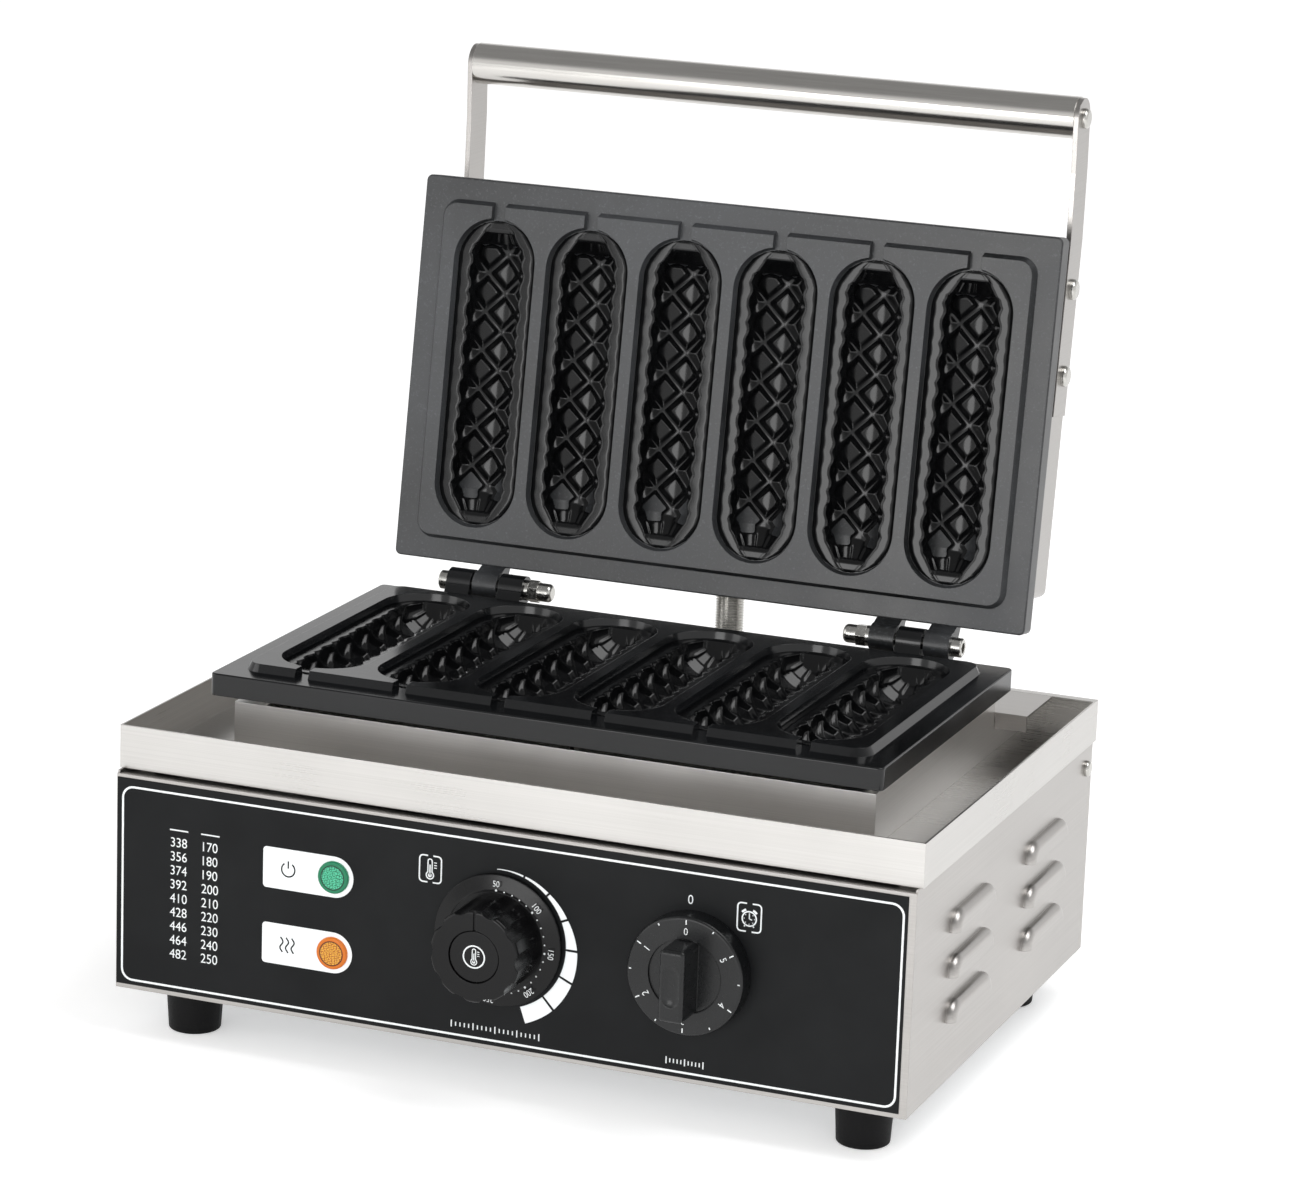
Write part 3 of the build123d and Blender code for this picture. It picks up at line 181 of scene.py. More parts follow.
# Die-cast aluminium under a sprayed black non-stick coat: grey specks about 0.5 mm across over a grain of 0.6 mm,
# both coarser than the real ones so that they show, and worn, slightly greyer and duller patches 70 mm apart. Where
# the specks are light and strong they are partly the coat's own specks and partly painted glints of sparkle. Colour
# and roughness each add a share of the specks to a share of the patches
def nonstickCoat(name, colours, roughRange, grain, speckAndSparkleShare, ior):
    c = coatPattern
    settings = {"Metallic": 0.0, "IOR": ior}
    material, tree, shader, _, (fine, specks, patches) = newMaterial(name, settings, c["noises"])
    peaks = addNode(tree, "ShaderNodeMapRange", {"From Min": c["specksUsed"][0], "From Max": c["specksUsed"][1]},
                    {"Value": specks})
    cloud = addNode(tree, "ShaderNodeMapRange", {"From Min": c["patchUsed"][0], "From Max": c["patchUsed"][1],
                                                 "To Max": c["patchTint"]}, {"Value": patches})
    wearAndPaintedSparkle = addNode(tree, "ShaderNodeMath", {"operation": "MULTIPLY_ADD", 1: speckAndSparkleShare}, {0: peaks, 2: cloud})
    (low, high), share = c["patchRough"]
    gloss = addNode(tree, "ShaderNodeMapRange", {"From Min": low, "From Max": high, "To Max": share},
                    {"Value": patches})
    rough = addNode(tree, "ShaderNodeMath", {"operation": "MULTIPLY_ADD", 1: c["speckRough"]},
                    {0: specks, 2: gloss})
    relief = [(patches, *c["patchRelief"]), (specks, grain, c["speckDepth"]),
              (fine, grain * c["grainShare"], c["grainDepth"])]
    dressShader(tree, shader, colours, wearAndPaintedSparkle, rough, c["roughUsed"], roughRange, relief)
    return material


plasticPattern = {"cloud": ((30, 30, 30), 3.0, 0.5), "cloudUsed": (0.35, 0.7), "detail": 3.0,
                  "used": (0.3, 0.7), "depth": 0.0002, "edge": 0.0007}


# Moulded plastic, rubber, wool or ink: a small even texture in the roughness and the
# relief, 0.4 mm on film and ink and 0.7 to 1.4 mm on the rest, coarser than the real one
# so that it shows, and a colour that wanders over 33 mm
def mouldedPlastic(name, colours, roughRange, grainPerMetre, grain, ior=1.4):
    p = plasticPattern
    noises = [((grainPerMetre,) * 3, p["detail"], 0.5), p["cloud"]]
    material, tree, shader, _, (texture, cloud) = newMaterial(name, {"Metallic": 0.0, "IOR": ior}, noises)
    tint = addNode(tree, "ShaderNodeMapRange", {"From Min": p["cloudUsed"][0], "From Max": p["cloudUsed"][1]},
                   {"Value": cloud})
    dressShader(tree, shader, colours, tint, texture, p["used"], roughRange, [(texture, grain, p["depth"])],
                p["edge"])
    return material


# distances in metres from the lens's middle, and distances in a pebble's own cell
lensPattern = {
    "shader": {"IOR": 1.45, "Roughness": 0.2}, "pebblesPerMetre": 1180.0, "uneven": 0.45,
    "pebbleHighlight": (0.18, 0.56), "dome": (0.1, 0.6), "face": 0.0055, "blur": 0.0001, "groove": (0.0005, 0.0007),
    "edge": 0.0004, "relief": (0.5, 0.0004),
}


# Moulded acrylic lens: pebbles of 0.85 mm on the face, each with a painted highlight in its middle and painted shade
# in the gaps between them, a groove round them darkened with painted shade, and a smooth rim. The cells are laid
# across X and Z, the face's own plane, and the colour goes by the cell's distance inside the face and by the
# distance from the middle outside it
def pebbledLens(name, hexes, centre):
    p = lensPattern
    # colours: pebble middles with a painted highlight, gaps with painted shade, the groove with painted shade, and
    # the rim
    pebbleHighlight, gap, groove, rim = [linearColour(code) for code in hexes]
    material, tree, shader, place, _ = newMaterial(name, p["shader"])
    upright = addNode(tree, "ShaderNodeMapping", {"Rotation": (math.radians(-90), 0, 0)}, {"Vector": place})
    cells = addNode(tree, "ShaderNodeTexVoronoi", {"voronoi_dimensions": "2D", "Scale": p["pebblesPerMetre"],
                                                   "Randomness": p["uneven"]},
                    {"Vector": upright}).outputs["Distance"]
    between = addNode(tree, "ShaderNodeMapRange", {"From Min": p["pebbleHighlight"][0], "From Max": p["pebbleHighlight"][1]},
                      {"Value": cells})
    pebbleHighlightAndShade = addNode(tree, "ShaderNodeMix", {"data_type": "RGBA", 6: pebbleHighlight, 7: gap}, {0: between})
    shifted = addNode(tree, "ShaderNodeVectorMath", {"operation": "SUBTRACT", 1: centre}, {0: place})
    across = addNode(tree, "ShaderNodeVectorMath", {"operation": "MULTIPLY", 1: (1, 0, 1)}, {0: shifted})
    reach = addNode(tree, "ShaderNodeVectorMath", {"operation": "LENGTH"}, {0: across}).outputs["Value"]
    onRim = addNode(tree, "ShaderNodeMapRange", {"From Min": p["face"] - p["blur"],
                                                 "From Max": p["face"] + p["blur"]}, {"Value": reach})
    inGrooveShade = addNode(tree, "ShaderNodeMapRange", {"From Min": p["face"] + p["groove"][0],
                                                    "From Max": p["face"] + p["groove"][1],
                                                    "To Min": 1.0, "To Max": 0.0}, {"Value": reach})
    ring = addNode(tree, "ShaderNodeMix", {"data_type": "RGBA", 6: rim, 7: groove}, {0: inGrooveShade})
    whole = addNode(tree, "ShaderNodeMix", {"data_type": "RGBA"},
                    {0: onRim, 6: pebbleHighlightAndShade.outputs[2], 7: ring.outputs[2]})
    tree.links.new(whole.outputs[2], shader.inputs["Base Color"])
    inside = addNode(tree, "ShaderNodeMath", {"operation": "SUBTRACT", 0: 1.0}, {1: onRim})
    domes = addNode(tree, "ShaderNodeMapRange", {"From Min": p["dome"][0], "From Max": p["dome"][1],
                                                 "To Min": 1.0, "To Max": 0.0}, {"Value": cells})
    height = addNode(tree, "ShaderNodeMath", {"operation": "MULTIPLY"}, {0: domes, 1: inside})
    rounded = addNode(tree, "ShaderNodeBevel", {"samples": 4, "Radius": p["edge"]})
    strength, distance = p["relief"]
    normal = addNode(tree, "ShaderNodeBump", {"Strength": strength, "Distance": distance},
                     {"Height": height, "Normal": rounded})
    tree.links.new(normal.outputs[0], shader.inputs["Normal"])
    return material


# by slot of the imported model, then the finishes that single nodes have of their own
finishes = {
    "satin_stainless": brushedStainless("satinBrushedStainless", ("A6A3A0", "B6B3B0"), (0.28, 0.33), 0.01),
    "polished_stainless": brightMetal("polishedStainlessTube", ("BFBCB8", "D0CECA"), (0.16, 0.20),
                                      (30, 900, 900), 0.05),
    "plated_steel": brightMetal("brightZincPlate", ("B4B2AD", "CBCAC6"), (0.15, 0.28), (500, 500, 500)),
    "galvanised_sheet": brightMetal("galvanisedSheet", ("9A9C9E", "BFC1C2"), (0.35, 0.55), (90, 90, 90), 0.3),
    # light grey specks with a large share: the coat's own specks and painted glints of sparkle
    "nonstick_aluminium": nonstickCoat("nonstickCastAluminium", ("131415", "4A4C4F"), (0.30, 0.46),
                                       0.26, 0.9, 1.58),
    "heater_sheath": brightMetal("heaterSheath", ("4C4642", "6A625B"), (0.40, 0.60), (400, 400, 400), 0.3),
    "ceramic_wool": mouldedPlastic("ceramicWool", ("D9D6CC", "EFEDE6"), (0.85, 0.95), 700, 0.8),
    "black_film": mouldedPlastic("blackPanelFilm", ("141516", "191A1B"), (0.40, 0.48), 2500, 0.05, 1.22),
    "black_plastic": mouldedPlastic("blackPhenolic", ("060607", "0B0B0C"), (0.18, 0.26), 1500, 0.05, 1.33),
    "dark_insert": mouldedPlastic("dialDiscPlastic", ("060607", "0B0B0C"), (0.20, 0.28), 1500, 0.05, 1.33),
    "cream_plastic": mouldedPlastic("creamNylon", ("D8CFB8", "E6DFCC"), (0.40, 0.50), 900, 0.1),
    "brass_screws": brightMetal("brass", ("B08D4A", "C9A561"), (0.25, 0.40), (500, 500, 500)),
    "black_rubber": mouldedPlastic("blackRubber", ("060607", "0D0D0E"), (0.50, 0.65), 1300, 0.25, 1.25),
    # lighter copies of the same satin steel: on the tray a painted highlight of the lamps, on the pedestal painted
    # light that lifts the shade under the plate
    "stainless_painted_highlight": brushedStainless("brushedStainlessPaintedHighlight", ("BDBBB8", "CAC8C5"), (0.26, 0.31), 0.01),
    "stainless_painted_light": brushedStainless("brushedStainlessPaintedLight", ("E4E2E0", "F0EEEC"), (0.28, 0.33), 0.01),
    "glossy_nonstick": nonstickCoat("glossyNonstickAluminium", ("08090A", "16171A"), (0.12, 0.20),
                                    0.05, 0.6, 1.45),
    "matt_plastic": mouldedPlastic("mattPhenolic", ("0E0F10", "171819"), (0.26, 0.34), 1500, 0.06, 1.42),
}
whiteInk = mouldedPlastic("whiteScreenInk", ("F4F8F9", "FAFCFC"), (0.45, 0.55), 2500, 0.03)
blackInk = mouldedPlastic("blackScreenInk", ("101112", "17181A"), (0.45, 0.55), 2500, 0.03, 1.3)
mouldCoat = nonstickCoat("glossyMouldCoat", ("060607", "101112"), (0.12, 0.20), 0.04, 0.5, 1.42)
print("materials made:", len(bpy.data.materials))


# Meshes

# A mesh object from points in millimetres and faces
def meshPiece(name, points, faces, material, smooth=False):
    mesh = bpy.data.meshes.new(name)
    mesh.from_pydata((np.asarray(points, float) * mm).tolist(), [],
                     faces.tolist() if isinstance(faces, np.ndarray) else faces)
    mesh.polygons.foreach_set("use_smooth", np.full(len(mesh.polygons), smooth))
    mesh.update()
    mesh.materials.append(material)
    piece = bpy.data.objects.new(name, mesh)
    bpy.context.scene.collection.objects.link(piece)
    return piece


# Quads of a grid of rows x columns points: each point with the next in its row and the
# two beside them in the next row, joined up where the grid is closed
def gridQuads(rows, columns, closedRows=False, closedColumns=False):
    r = np.arange(rows if closedRows else rows - 1)
    c = np.arange(columns if closedColumns else columns - 1)
    r, c = [a.ravel() for a in np.meshgrid(r, c, indexing="ij")]
    nextR, nextC = (r + 1) % rows, (c + 1) % columns
    return np.stack([r * columns + c, r * columns + nextC, nextR * columns + nextC, nextR * columns + c], 1)


# Several (points, faces) as one, with the faces' numbers moved up
def joined(parts):
    points, faces, start = [], [], 0
    for partPoints, partFaces in parts:
        points.append(np.asarray(partPoints, float))
        faces += [[i + start for i in face] for face in partFaces]
        start += len(partPoints)
    return np.concatenate(points), faces


# A flat print on a plane that faces -Y: its outline's (x, z), clockwise from the front,
# at two depths, with a wall between them
def plate(outline, back, front):
    n = len(outline)
    points = [np.column_stack([outline[:, 0], np.full(n, y), outline[:, 1]]) for y in (front, back)]
    k = np.arange(n)
    sides = np.stack([k, (k + 1) % n, (k + 1) % n + n, k + n], 1)
    return np.concatenate(points), [k[::-1].tolist(), (k + n).tolist()] + sides.tolist()


# A strip between its left and right edge at two depths, closed in a loop or square ended
def strip(left, right, back, front, closed):
    n = len(left)
    corners = [(left, front), (right, front), (right, back), (left, back)]
    points = np.stack([np.column_stack([line[:, 0], np.full(n, y), line[:, 1]]) for line, y in corners], 1)
    faces = gridQuads(n, 4, closed, True).tolist()
    if not closed:
        faces += [[3, 2, 1, 0], [(n - 1) * 4 + i for i in range(4)]]
    return points.reshape(-1, 3), faces


# A line of a given width along points: half the width to each side, square to the mean of
# the steps before and after a point, and longer there by 1 / cosine of half the turn
def stroke(path, width, back, front, closed=False):
    path = np.asarray(path, float)
    ahead = np.roll(path, -1, 0) - path
    behind = path - np.roll(path, 1, 0)
    if not closed:
        ahead[-1], behind[0] = behind[-1], ahead[0]
    ahead /= np.linalg.norm(ahead, axis=1)[:, None]
    behind /= np.linalg.norm(behind, axis=1)[:, None]
    mean = ahead + behind
    across = np.column_stack([-mean[:, 1], mean[:, 0]])
    across /= np.linalg.norm(across, axis=1)[:, None]
    cosine = np.abs((across * np.column_stack([-ahead[:, 1], ahead[:, 0]])).sum(1))
    across /= np.maximum(cosine, 0.5)[:, None]
    return strip(path + across * width / 2, path - across * width / 2, back, front, closed)


# Points on an arc: centre + radius x (sine, cosine), with angles in degrees clockwise
# from twelve o'clock, seen from the front
def arc(centre, radius, start, end, count):
    angle = np.radians(np.linspace(start, end, count))
    return np.column_stack([centre[0] + radius * np.sin(angle), centre[1] + radius * np.cos(angle)])


# One point of such an arc
def onCircle(centre, radius, angle):
    return arc(centre, radius, angle, angle, 1)[0]


# A rectangle with a quarter of a circle at each corner, clockwise
def roundedBox(low, high, radius, perCorner=8):
    corners = [((low[0] + radius, high[1] - radius), 270), ((high[0] - radius, high[1] - radius), 0),
               ((high[0] - radius, low[1] + radius), 90), ((low[0] + radius, low[1] + radius), 180)]
    return np.concatenate([arc(c, radius, a, a + 90, perCorner) for c, a in corners])


glyphs = {}


# A number as a flat mesh about its own middle, scaled to its height: x, z, depths, faces
def numberMesh(text, height, back, front):
    if text not in glyphs:
        curve = bpy.data.curves.new("glyph", "FONT")
        curve.body = text
        curve.extrude = 0.5
        holder = bpy.data.objects.new("glyph", curve)
        bpy.context.scene.collection.objects.link(holder)
        bpy.context.view_layer.update()
        mesh = bpy.data.meshes.new_from_object(holder.evaluated_get(bpy.context.evaluated_depsgraph_get()))
        points = np.zeros(len(mesh.vertices) * 3)
        mesh.vertices.foreach_get("co", points)
        glyphs[text] = (points.reshape(-1, 3), [list(p.vertices) for p in mesh.polygons])
        bpy.data.objects.remove(holder)
        bpy.data.curves.remove(curve)
        bpy.data.meshes.remove(mesh)
    points, faces = glyphs[text]
    low, high = points.min(0), points.max(0)
    flat = (points - (low + high) / 2) * height / (high[1] - low[1])
    return flat[:, 0], flat[:, 1], np.where(points[:, 2] > 0, front, back), faces


# A number printed at a place, squeezed in width and turned clockwise by an angle
def number(text, centre, height, back, front, turn=0.0, squeeze=0.92):
    x, z, depths, faces = numberMesh(text, height, back, front)
    a = math.radians(turn)
    x = x * squeeze
    points = np.column_stack([centre[0] + x * math.cos(a) + z * math.sin(a), depths,
                              centre[1] - x * math.sin(a) + z * math.cos(a)])
    return points, faces


# Waffle moulds

mouldForm = {
    "pitch": 50.4,                       # between moulds
    "count": 6,
    "middle": -106.55,                   # from the hinge axis to the middle of a mould
    "level": 4.0,                        # recess floor below the parting plane
    "halfLength": 71.3, "taper": 11.0,
    "crest": 13.9, "deep": 16.1,         # radius over the ribs, and at the pocket floors
    "pocketPitch": 19.7, "firstPocket": 10.8, "lastPocket": 61.0, "rowAngle": 37.0, "sideRows": 3,
    "ribHalf": 0.8, "wall": 2.1,         # across half a rib's crest, and down its wall
    "rim": (14.85, 13.3, 58.0, 76.0),    # floor and crest at the rim, and the angles where they begin
    "flute": (0.8, 6.0, 62.0, 66.0),     # height and half width of the end walls' ribs, and where they begin
    "recessHalf": 20.9, "recessLength": 77.2,
    "sideShares": (0.2, 0.6, 1.0),       # columns of the recess's floor, from the rim to its edge
    "endShares": (0.35, 0.7, 0.98), "endGap": 0.01,     # rows of it past an end wall
    "steps": (241, 91), "blurs": 2, "lift": 0.12, "skin": 0.25,
}

# The casting's own pockets, which the skin stays clear of
castPockets = {
    "crest": 15.0, "crestEnd": 8.2, "deep": 17.2, "limit": 18.2, "limitEnd": 9.7,
    "floorHalf": 3.4, "wallSlope": 0.7265, "ribAngle": 33.5, "shallow": 12.35, "clear": 0.2, "least": 0.08,
    "farRow": 0.5,                       # cosine of a row that is too far round to be met
}


# Distance along a mould from each place to the middle of the nearest pocket in a row, or
# a whole pitch past the row's last one. Every second row is moved by half a pitch
def toPocket(along, row):
    f = mouldForm
    shift = f["firstPocket"] + (row % 2) / 2 * f["pocketPitch"]
    middle = shift + np.round((along - shift) / f["pocketPitch"]) * f["pocketPitch"]
    return np.where(np.abs(middle) < f["lastPocket"], np.abs(along - middle), f["pocketPitch"])


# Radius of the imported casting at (along, angle): for each row the ray from the mould's
# axis leaves the pocket through a flat wall or through its floor, whichever is nearer,
# at (floorHalf + slope x deep - along x sin ribAngle) / (sin x cos ribAngle + slope x
# cos) or at deep / cos, and the farthest row counts, over the ribs and under the limit.
# Where the ribs come nearer than shallow the pockets have ended
def castRadius(along, angle):
    c = castPockets
    toEnd = np.clip((mouldForm["halfLength"] - np.abs(along)) / mouldForm["taper"], 0, 1)
    crest = c["crestEnd"] + (c["crest"] - c["crestEnd"]) * toEnd
    best = crest
    tilt = math.radians(c["ribAngle"])
    for row in range(-mouldForm["sideRows"], mouldForm["sideRows"] + 1):
        away = np.radians(angle - row * mouldForm["rowAngle"])
        upright = np.cos(away)
        near = np.maximum(upright, c["farRow"])
        wall = (c["floorHalf"] + c["wallSlope"] * c["deep"] - toPocket(along, row) * math.sin(tilt)) \
            / (np.abs(np.sin(away)) * math.cos(tilt) + c["wallSlope"] * near)
        best = np.maximum(best, np.where(upright > c["farRow"], np.minimum(wall, c["deep"] / near), 0))
    best = np.minimum(best, c["limitEnd"] + (c["limit"] - c["limitEnd"]) * toEnd)
    return np.where(crest < c["shallow"], crest, best)


# Radius of the skin at (along, angle): unrolled, the half-round is tiled by lozenge
# cells, and with t = 1 - along share - angle share, t x half a cell x cos 45 is the
# distance to the nearest rib. Past half a rib the radius falls over the wall's width
# from the crest to the floor, which is part of a cylinder. Towards the rim both blend to
# the rim's own radii, which gives even scallops between narrow cusps. On the end walls
# ribs of a triangle's section run on between the rows
def mouldRadius(along, angle):
    f = mouldForm
    half = f["pocketPitch"] / 2
    rimFloor, rimCrest, start, end = f["rim"]
    rim = np.clip((np.abs(angle) - start) / (end - start), 0, 1)
    rim = rim * rim * (3 - 2 * rim)
    crest = f["crest"] + (rimCrest - f["crest"]) * rim
    floor = f["deep"] + (rimFloor - f["deep"]) * rim
    radius = crest
    for row in range(-f["sideRows"], f["sideRows"] + 1):
        away = angle - row * f["rowAngle"]
        share = 1 - toPocket(along, row) / half - np.abs(away) / f["rowAngle"]
        fall = np.clip((share * half * math.cos(math.radians(45)) - f["ribHalf"]) / f["wall"], 0, 1)
        radius = np.maximum(radius, crest + (floor - crest) * fall)
    height, width, first, last = f["flute"]
    nearest = np.abs((angle / f["rowAngle"] + 0.5) % 1 - 0.5) * f["rowAngle"]
    flutes = height * np.clip(1 - (f["rowAngle"] / 2 - nearest) / width, 0, 1) \
        * np.clip((np.abs(along) - first) / (last - first), 0, 1)
    return np.minimum(radius, castRadius(along, angle) - castPockets["clear"] - flutes)


# Rounds every edge as casting does: each value becomes half of itself and an eighth of
# each of its four neighbours
def softened(values, passes):
    for _ in range(passes):
        padded = np.pad(values, 1, mode="edge")
        values = (padded[:-2, 1:-1] + padded[2:, 1:-1] + padded[1:-1, :-2] + padded[1:-1, 2:] + 4 * values) / 8
    return values


# Half the recess's width at a place along a mould: straight, then half a circle
def recessHalfWidth(along):
    f = mouldForm
    past = np.maximum(np.abs(along) - (f["recessLength"] - f["recessHalf"]), 0)
    return np.sqrt(np.maximum(f["recessHalf"] ** 2 - past ** 2, 0.01))


# One mould's face about its own middle: columns run from the recess's edge over the
# floor, round the half-round cavity at radius x (sin, -cos) and out to the other edge,
# and past each end wall the rows are flat floor, spread over the recess's width
def mouldFace():
    f = mouldForm
    along = np.linspace(-f["halfLength"] + f["skin"], f["halfLength"] - f["skin"], f["steps"][0])
    u, angle = np.meshgrid(along, np.linspace(-90, 90, f["steps"][1]), indexing="ij")
    radius = np.minimum(softened(mouldRadius(u, angle), f["blurs"]), castRadius(u, angle) - castPockets["least"])
    x = radius * np.sin(np.radians(angle))
    z = -radius * np.cos(np.radians(angle))
    z[:, 0] = z[:, -1] = 0
    edge = x[:, -1:]
    side = edge + (recessHalfWidth(along)[:, None] - edge) * np.array(f["sideShares"])
    x = np.concatenate([-side[:, ::-1], x, side], 1)
    z = np.pad(z, ((0, 0), (side.shape[1],) * 2))
    ends = [(f["halfLength"] + f["endGap"], x[0])]
    for share in f["endShares"]:
        place = f["halfLength"] + (f["recessLength"] - f["halfLength"]) * share
        ends.append((place, x[0] / np.abs(x[0]).max() * recessHalfWidth(place)))
    places = np.array([place for place, _ in ends])
    rows = np.array([row for _, row in ends])
    u = np.repeat(np.concatenate([-places[::-1], along, places])[:, None], x.shape[1], 1)
    x = np.concatenate([rows[::-1], x, rows])
    z = np.pad(z, ((len(ends),) * 2, (0, 0))) + f["lift"]
    return x, u, z


hinge = {"y": 86.5548, "z": 178.4, "open": 98.9}


# A point of the closed lid, about the hinge axis, turned to the open lid's place
def openLid(points):
    a = math.radians(hinge["open"])
    y, z = points[:, 1], points[:, 2]
    return np.column_stack([points[:, 0], hinge["y"] + y * math.cos(a) + z * math.sin(a),
                            hinge["z"] - y * math.sin(a) + z * math.cos(a)])


# The face six times in each casting, turned over for the lid, with the skin's thickness
# on the side of the casting
def makeMoulds():
    f = mouldForm
    gridX, gridU, gridZ = mouldFace()
    quads = gridQuads(*gridX.shape)
    y = f["middle"] - gridU.ravel()
    z = gridZ.ravel() - f["level"]
    for i in range(f["count"]):
        x = gridX.ravel() + (i - (f["count"] - 1) / 2) * f["pitch"]
        lower = np.column_stack([x, hinge["y"] + y, hinge["z"] + z])
        upper = openLid(np.column_stack([x, y, -z]))
        for name, body, points, faces in (("lowerMould", "base", lower, quads),
                                          ("upperMould", "lid", upper, quads[:, ::-1])):
            piece = meshPiece(f"{name}{i + 1}", points, faces, mouldCoat, True)
            skin = piece.modifiers.new("skin", "SOLIDIFY")
            skin.thickness = f["skin"] * mm
            skin.offset = -1
            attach(piece, body)
    print("moulds made:", 2 * f["count"], "with", gridX.size, "points each")


makeMoulds()


# Ribbed conduit

conduit = {
    "radius": 7.5, "bore": 5.6, "groove": 0.75, "pitch": 1.3, "crestShape": 0.6,
    "seat": 2.45,                        # of each end inside its ferrule
    "steps": 6, "around": 40,            # points along a ring, and round it
    "foot": (10.2, 105.9548, 152.2),
    "head": (6.2, -23.0, 26.9),          # on the closed lid, about the hinge axis
}


# Rings along the line from the deck to the hood's wall.
def makeConduit():
    c = conduit
    foot = np.array(c["foot"])
    head = openLid(np.array([c["head"]]))[0]
    length = np.linalg.norm(head - foot)
    along = (head - foot) / length
    sideways = np.cross(along, (0, 1, 0))
    sideways /= np.linalg.norm(sideways)
    upward = np.cross(sideways, along)
    run = length - 2 * c["seat"]
    rings = int(run / c["pitch"])
    t = np.arange(rings * c["steps"] + 1) / c["steps"]
    wave = np.cos(2 * np.pi * t)
    wave = np.sign(wave) * np.abs(wave) ** c["crestShape"]
    radius = c["radius"] + c["groove"] / 2 * (wave - 1)
    distance = c["seat"] + t * run / rings
    turn = np.linspace(0, 2 * np.pi, c["around"], endpoint=False)
    circle = np.outer(np.cos(turn), sideways) + np.outer(np.sin(turn), upward)
    outer = foot + distance[:, None, None] * along + radius[:, None, None] * circle
    inner = foot + distance[::-1, None, None] * along + c["bore"] * circle
    points = np.concatenate([outer, inner]).reshape(-1, 3)
    faces = gridQuads(2 * len(t), c["around"], True, True)[:, ::-1]
    piece = meshPiece("wireConduit", points, faces, finishes["plated_steel"], True)
    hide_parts("wire_conduit")
    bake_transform(piece)
    print("conduit made:", rings, "rings")


makeConduit()


# Prints on the control panel

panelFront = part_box("control_overlay")[0].y / mm
printSink = 0.05                         # a print's back lies this far inside its surface
printBack, printFront = panelFront + printSink, panelFront - 0.10

panel = {
    "border": ((-195.3, 28.7), (193.1, 124.2)), "borderRadius": 5.5, "borderWidth": 1.05,
    "columns": ((-165.7, 338, 18), (-149.3, 170, 10)),      # x, first number and step
    "rowTop": 100.4, "rowPitch": 6.88, "rows": 9, "digit": 4.6,
    "headLine": 9.6, "headUp": 6.0, "line": 0.7,
    "dialX": -1.0, "timerX": 94.2, "dialZ": 78.5,
    "zeroPlace": (92.0, 111.6), "zeroHeight": 4.3,
}


# The border line, the two columns of degrees under their head lines, and the timer's zero
def printPanel():
    p = panel
    border = stroke(roundedBox(*p["border"], p["borderRadius"]), p["borderWidth"], printBack, printFront, True)
    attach(meshPiece("panelBorder", *border, whiteInk), "base")

    parts = []
    for x, first, step in p["columns"]:
        for row in range(p["rows"]):
            parts.append(number(str(first + row * step), (x, p["rowTop"] - row * p["rowPitch"]), p["digit"],
                                printBack, printFront))
        z = p["rowTop"] + p["headUp"]
        parts.append(stroke(np.array([(x - p["headLine"] / 2, z), (x + p["headLine"] / 2, z)]), p["line"],
                            printBack, printFront))
    parts.append(number("0", p["zeroPlace"], p["zeroHeight"], printBack, printFront))
    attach(meshPiece("panelNumbers", *joined(parts), whiteInk), "base")
    print("panel printed")


printPanel()

scale = {"angles": (-3.5, 161.0), "gap": 1.7, "radius": 33.1,
         "widths": (0.35, 0.9, 1.8, 3.3, 5.6, 6.9, 7.9, 8.2)}


# Seven white blocks round the dial's right side that widen clockwise: the inner radius
# is even, and the outer one follows the widths at the blocks' ends
def printScale():
    s = scale
    centre = (panel["dialX"], panel["dialZ"])
    ends = np.linspace(*s["angles"], len(s["widths"]))
    blocks = []
    for i in range(len(ends) - 1):
        angles = np.linspace(ends[i] + (s["gap"] / 2 if i else 0), ends[i + 1] - s["gap"] / 2, 14)
        radii = s["radius"] + np.interp(angles, ends, s["widths"])
        turned = np.radians(angles)
        outer = np.column_stack([centre[0] + radii * np.sin(turned), centre[1] + radii * np.cos(turned)])
        inner = arc(centre, s["radius"], angles[0], angles[-1], len(angles))
        blocks.append(strip(outer, inner, printBack, printFront, False))
    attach(meshPiece("dialScaleBlocks", *joined(blocks), whiteInk), "base")
    print("scale printed")


printScale()

symbols = {
    "heatFrame": ((-36.4, 106.8), 11.0, 12.8), "heatSign": ((-36.6, 106.8), 9.6),
    "timeFrame": ((120.4, 107.3), 11.4, 13.2), "timeSign": ((120.4, 107.3), 9.4),
    "corner": 1.8, "gap": 0.12, "line": 0.7,
    "rulers": (((-2.0, 33.9), 44, 21), ((92.0, 33.6), 18, 11)),     # middle, width and ticks
    "tick": (3.4, 2.04, 0.6),            # tall, short and across
}


# A pair of square brackets with rounded corners, from the corners nearly to the middle
def brackets(centre, width, height):
    parts = []
    corner = symbols["corner"]
    for side in (-1, 1):
        outerX, innerX = side * width / 2, side * width * symbols["gap"]
        line = [(innerX, height / 2)]
        line += [(outerX - side * corner * (1 - math.sin(a)), height / 2 - corner * (1 - math.cos(a)))
                 for a in np.radians(np.linspace(0, 90, 6))]
        line += [(x, -z) for x, z in line[::-1]]
        parts.append(stroke(np.array(line) + centre, symbols["line"], printBack, printFront))
    return parts


# Thermometer: a round bulb under an outlined stem with three ticks beside it. All its
# parts are shares of its height
def thermometer(centre, height, back, front):
    stem, bulb = height * 0.11, height * 0.19
    low = (0, -height / 2 + bulb)
    side = math.degrees(math.asin(stem / bulb))
    outline = np.concatenate([arc(low, bulb, side, 360 - side, 24),
                              arc((0, height / 2 - stem), stem, -90, 90, 10)])
    parts = [stroke(outline + centre, height * 0.062, back, front, True),
             plate(arc(low, bulb * 0.55, 0, 345, 24) + centre, back, front),
             stroke(np.array([low, (0, height * 0.22)]) + centre, height * 0.07, back, front)]
    for k in range(3):
        z = height * (0.34 - 0.13 * k)
        parts.append(stroke(np.array([(stem * 1.9, z), (stem * 3.2, z)]) + centre, height * 0.05, back, front))
    return parts


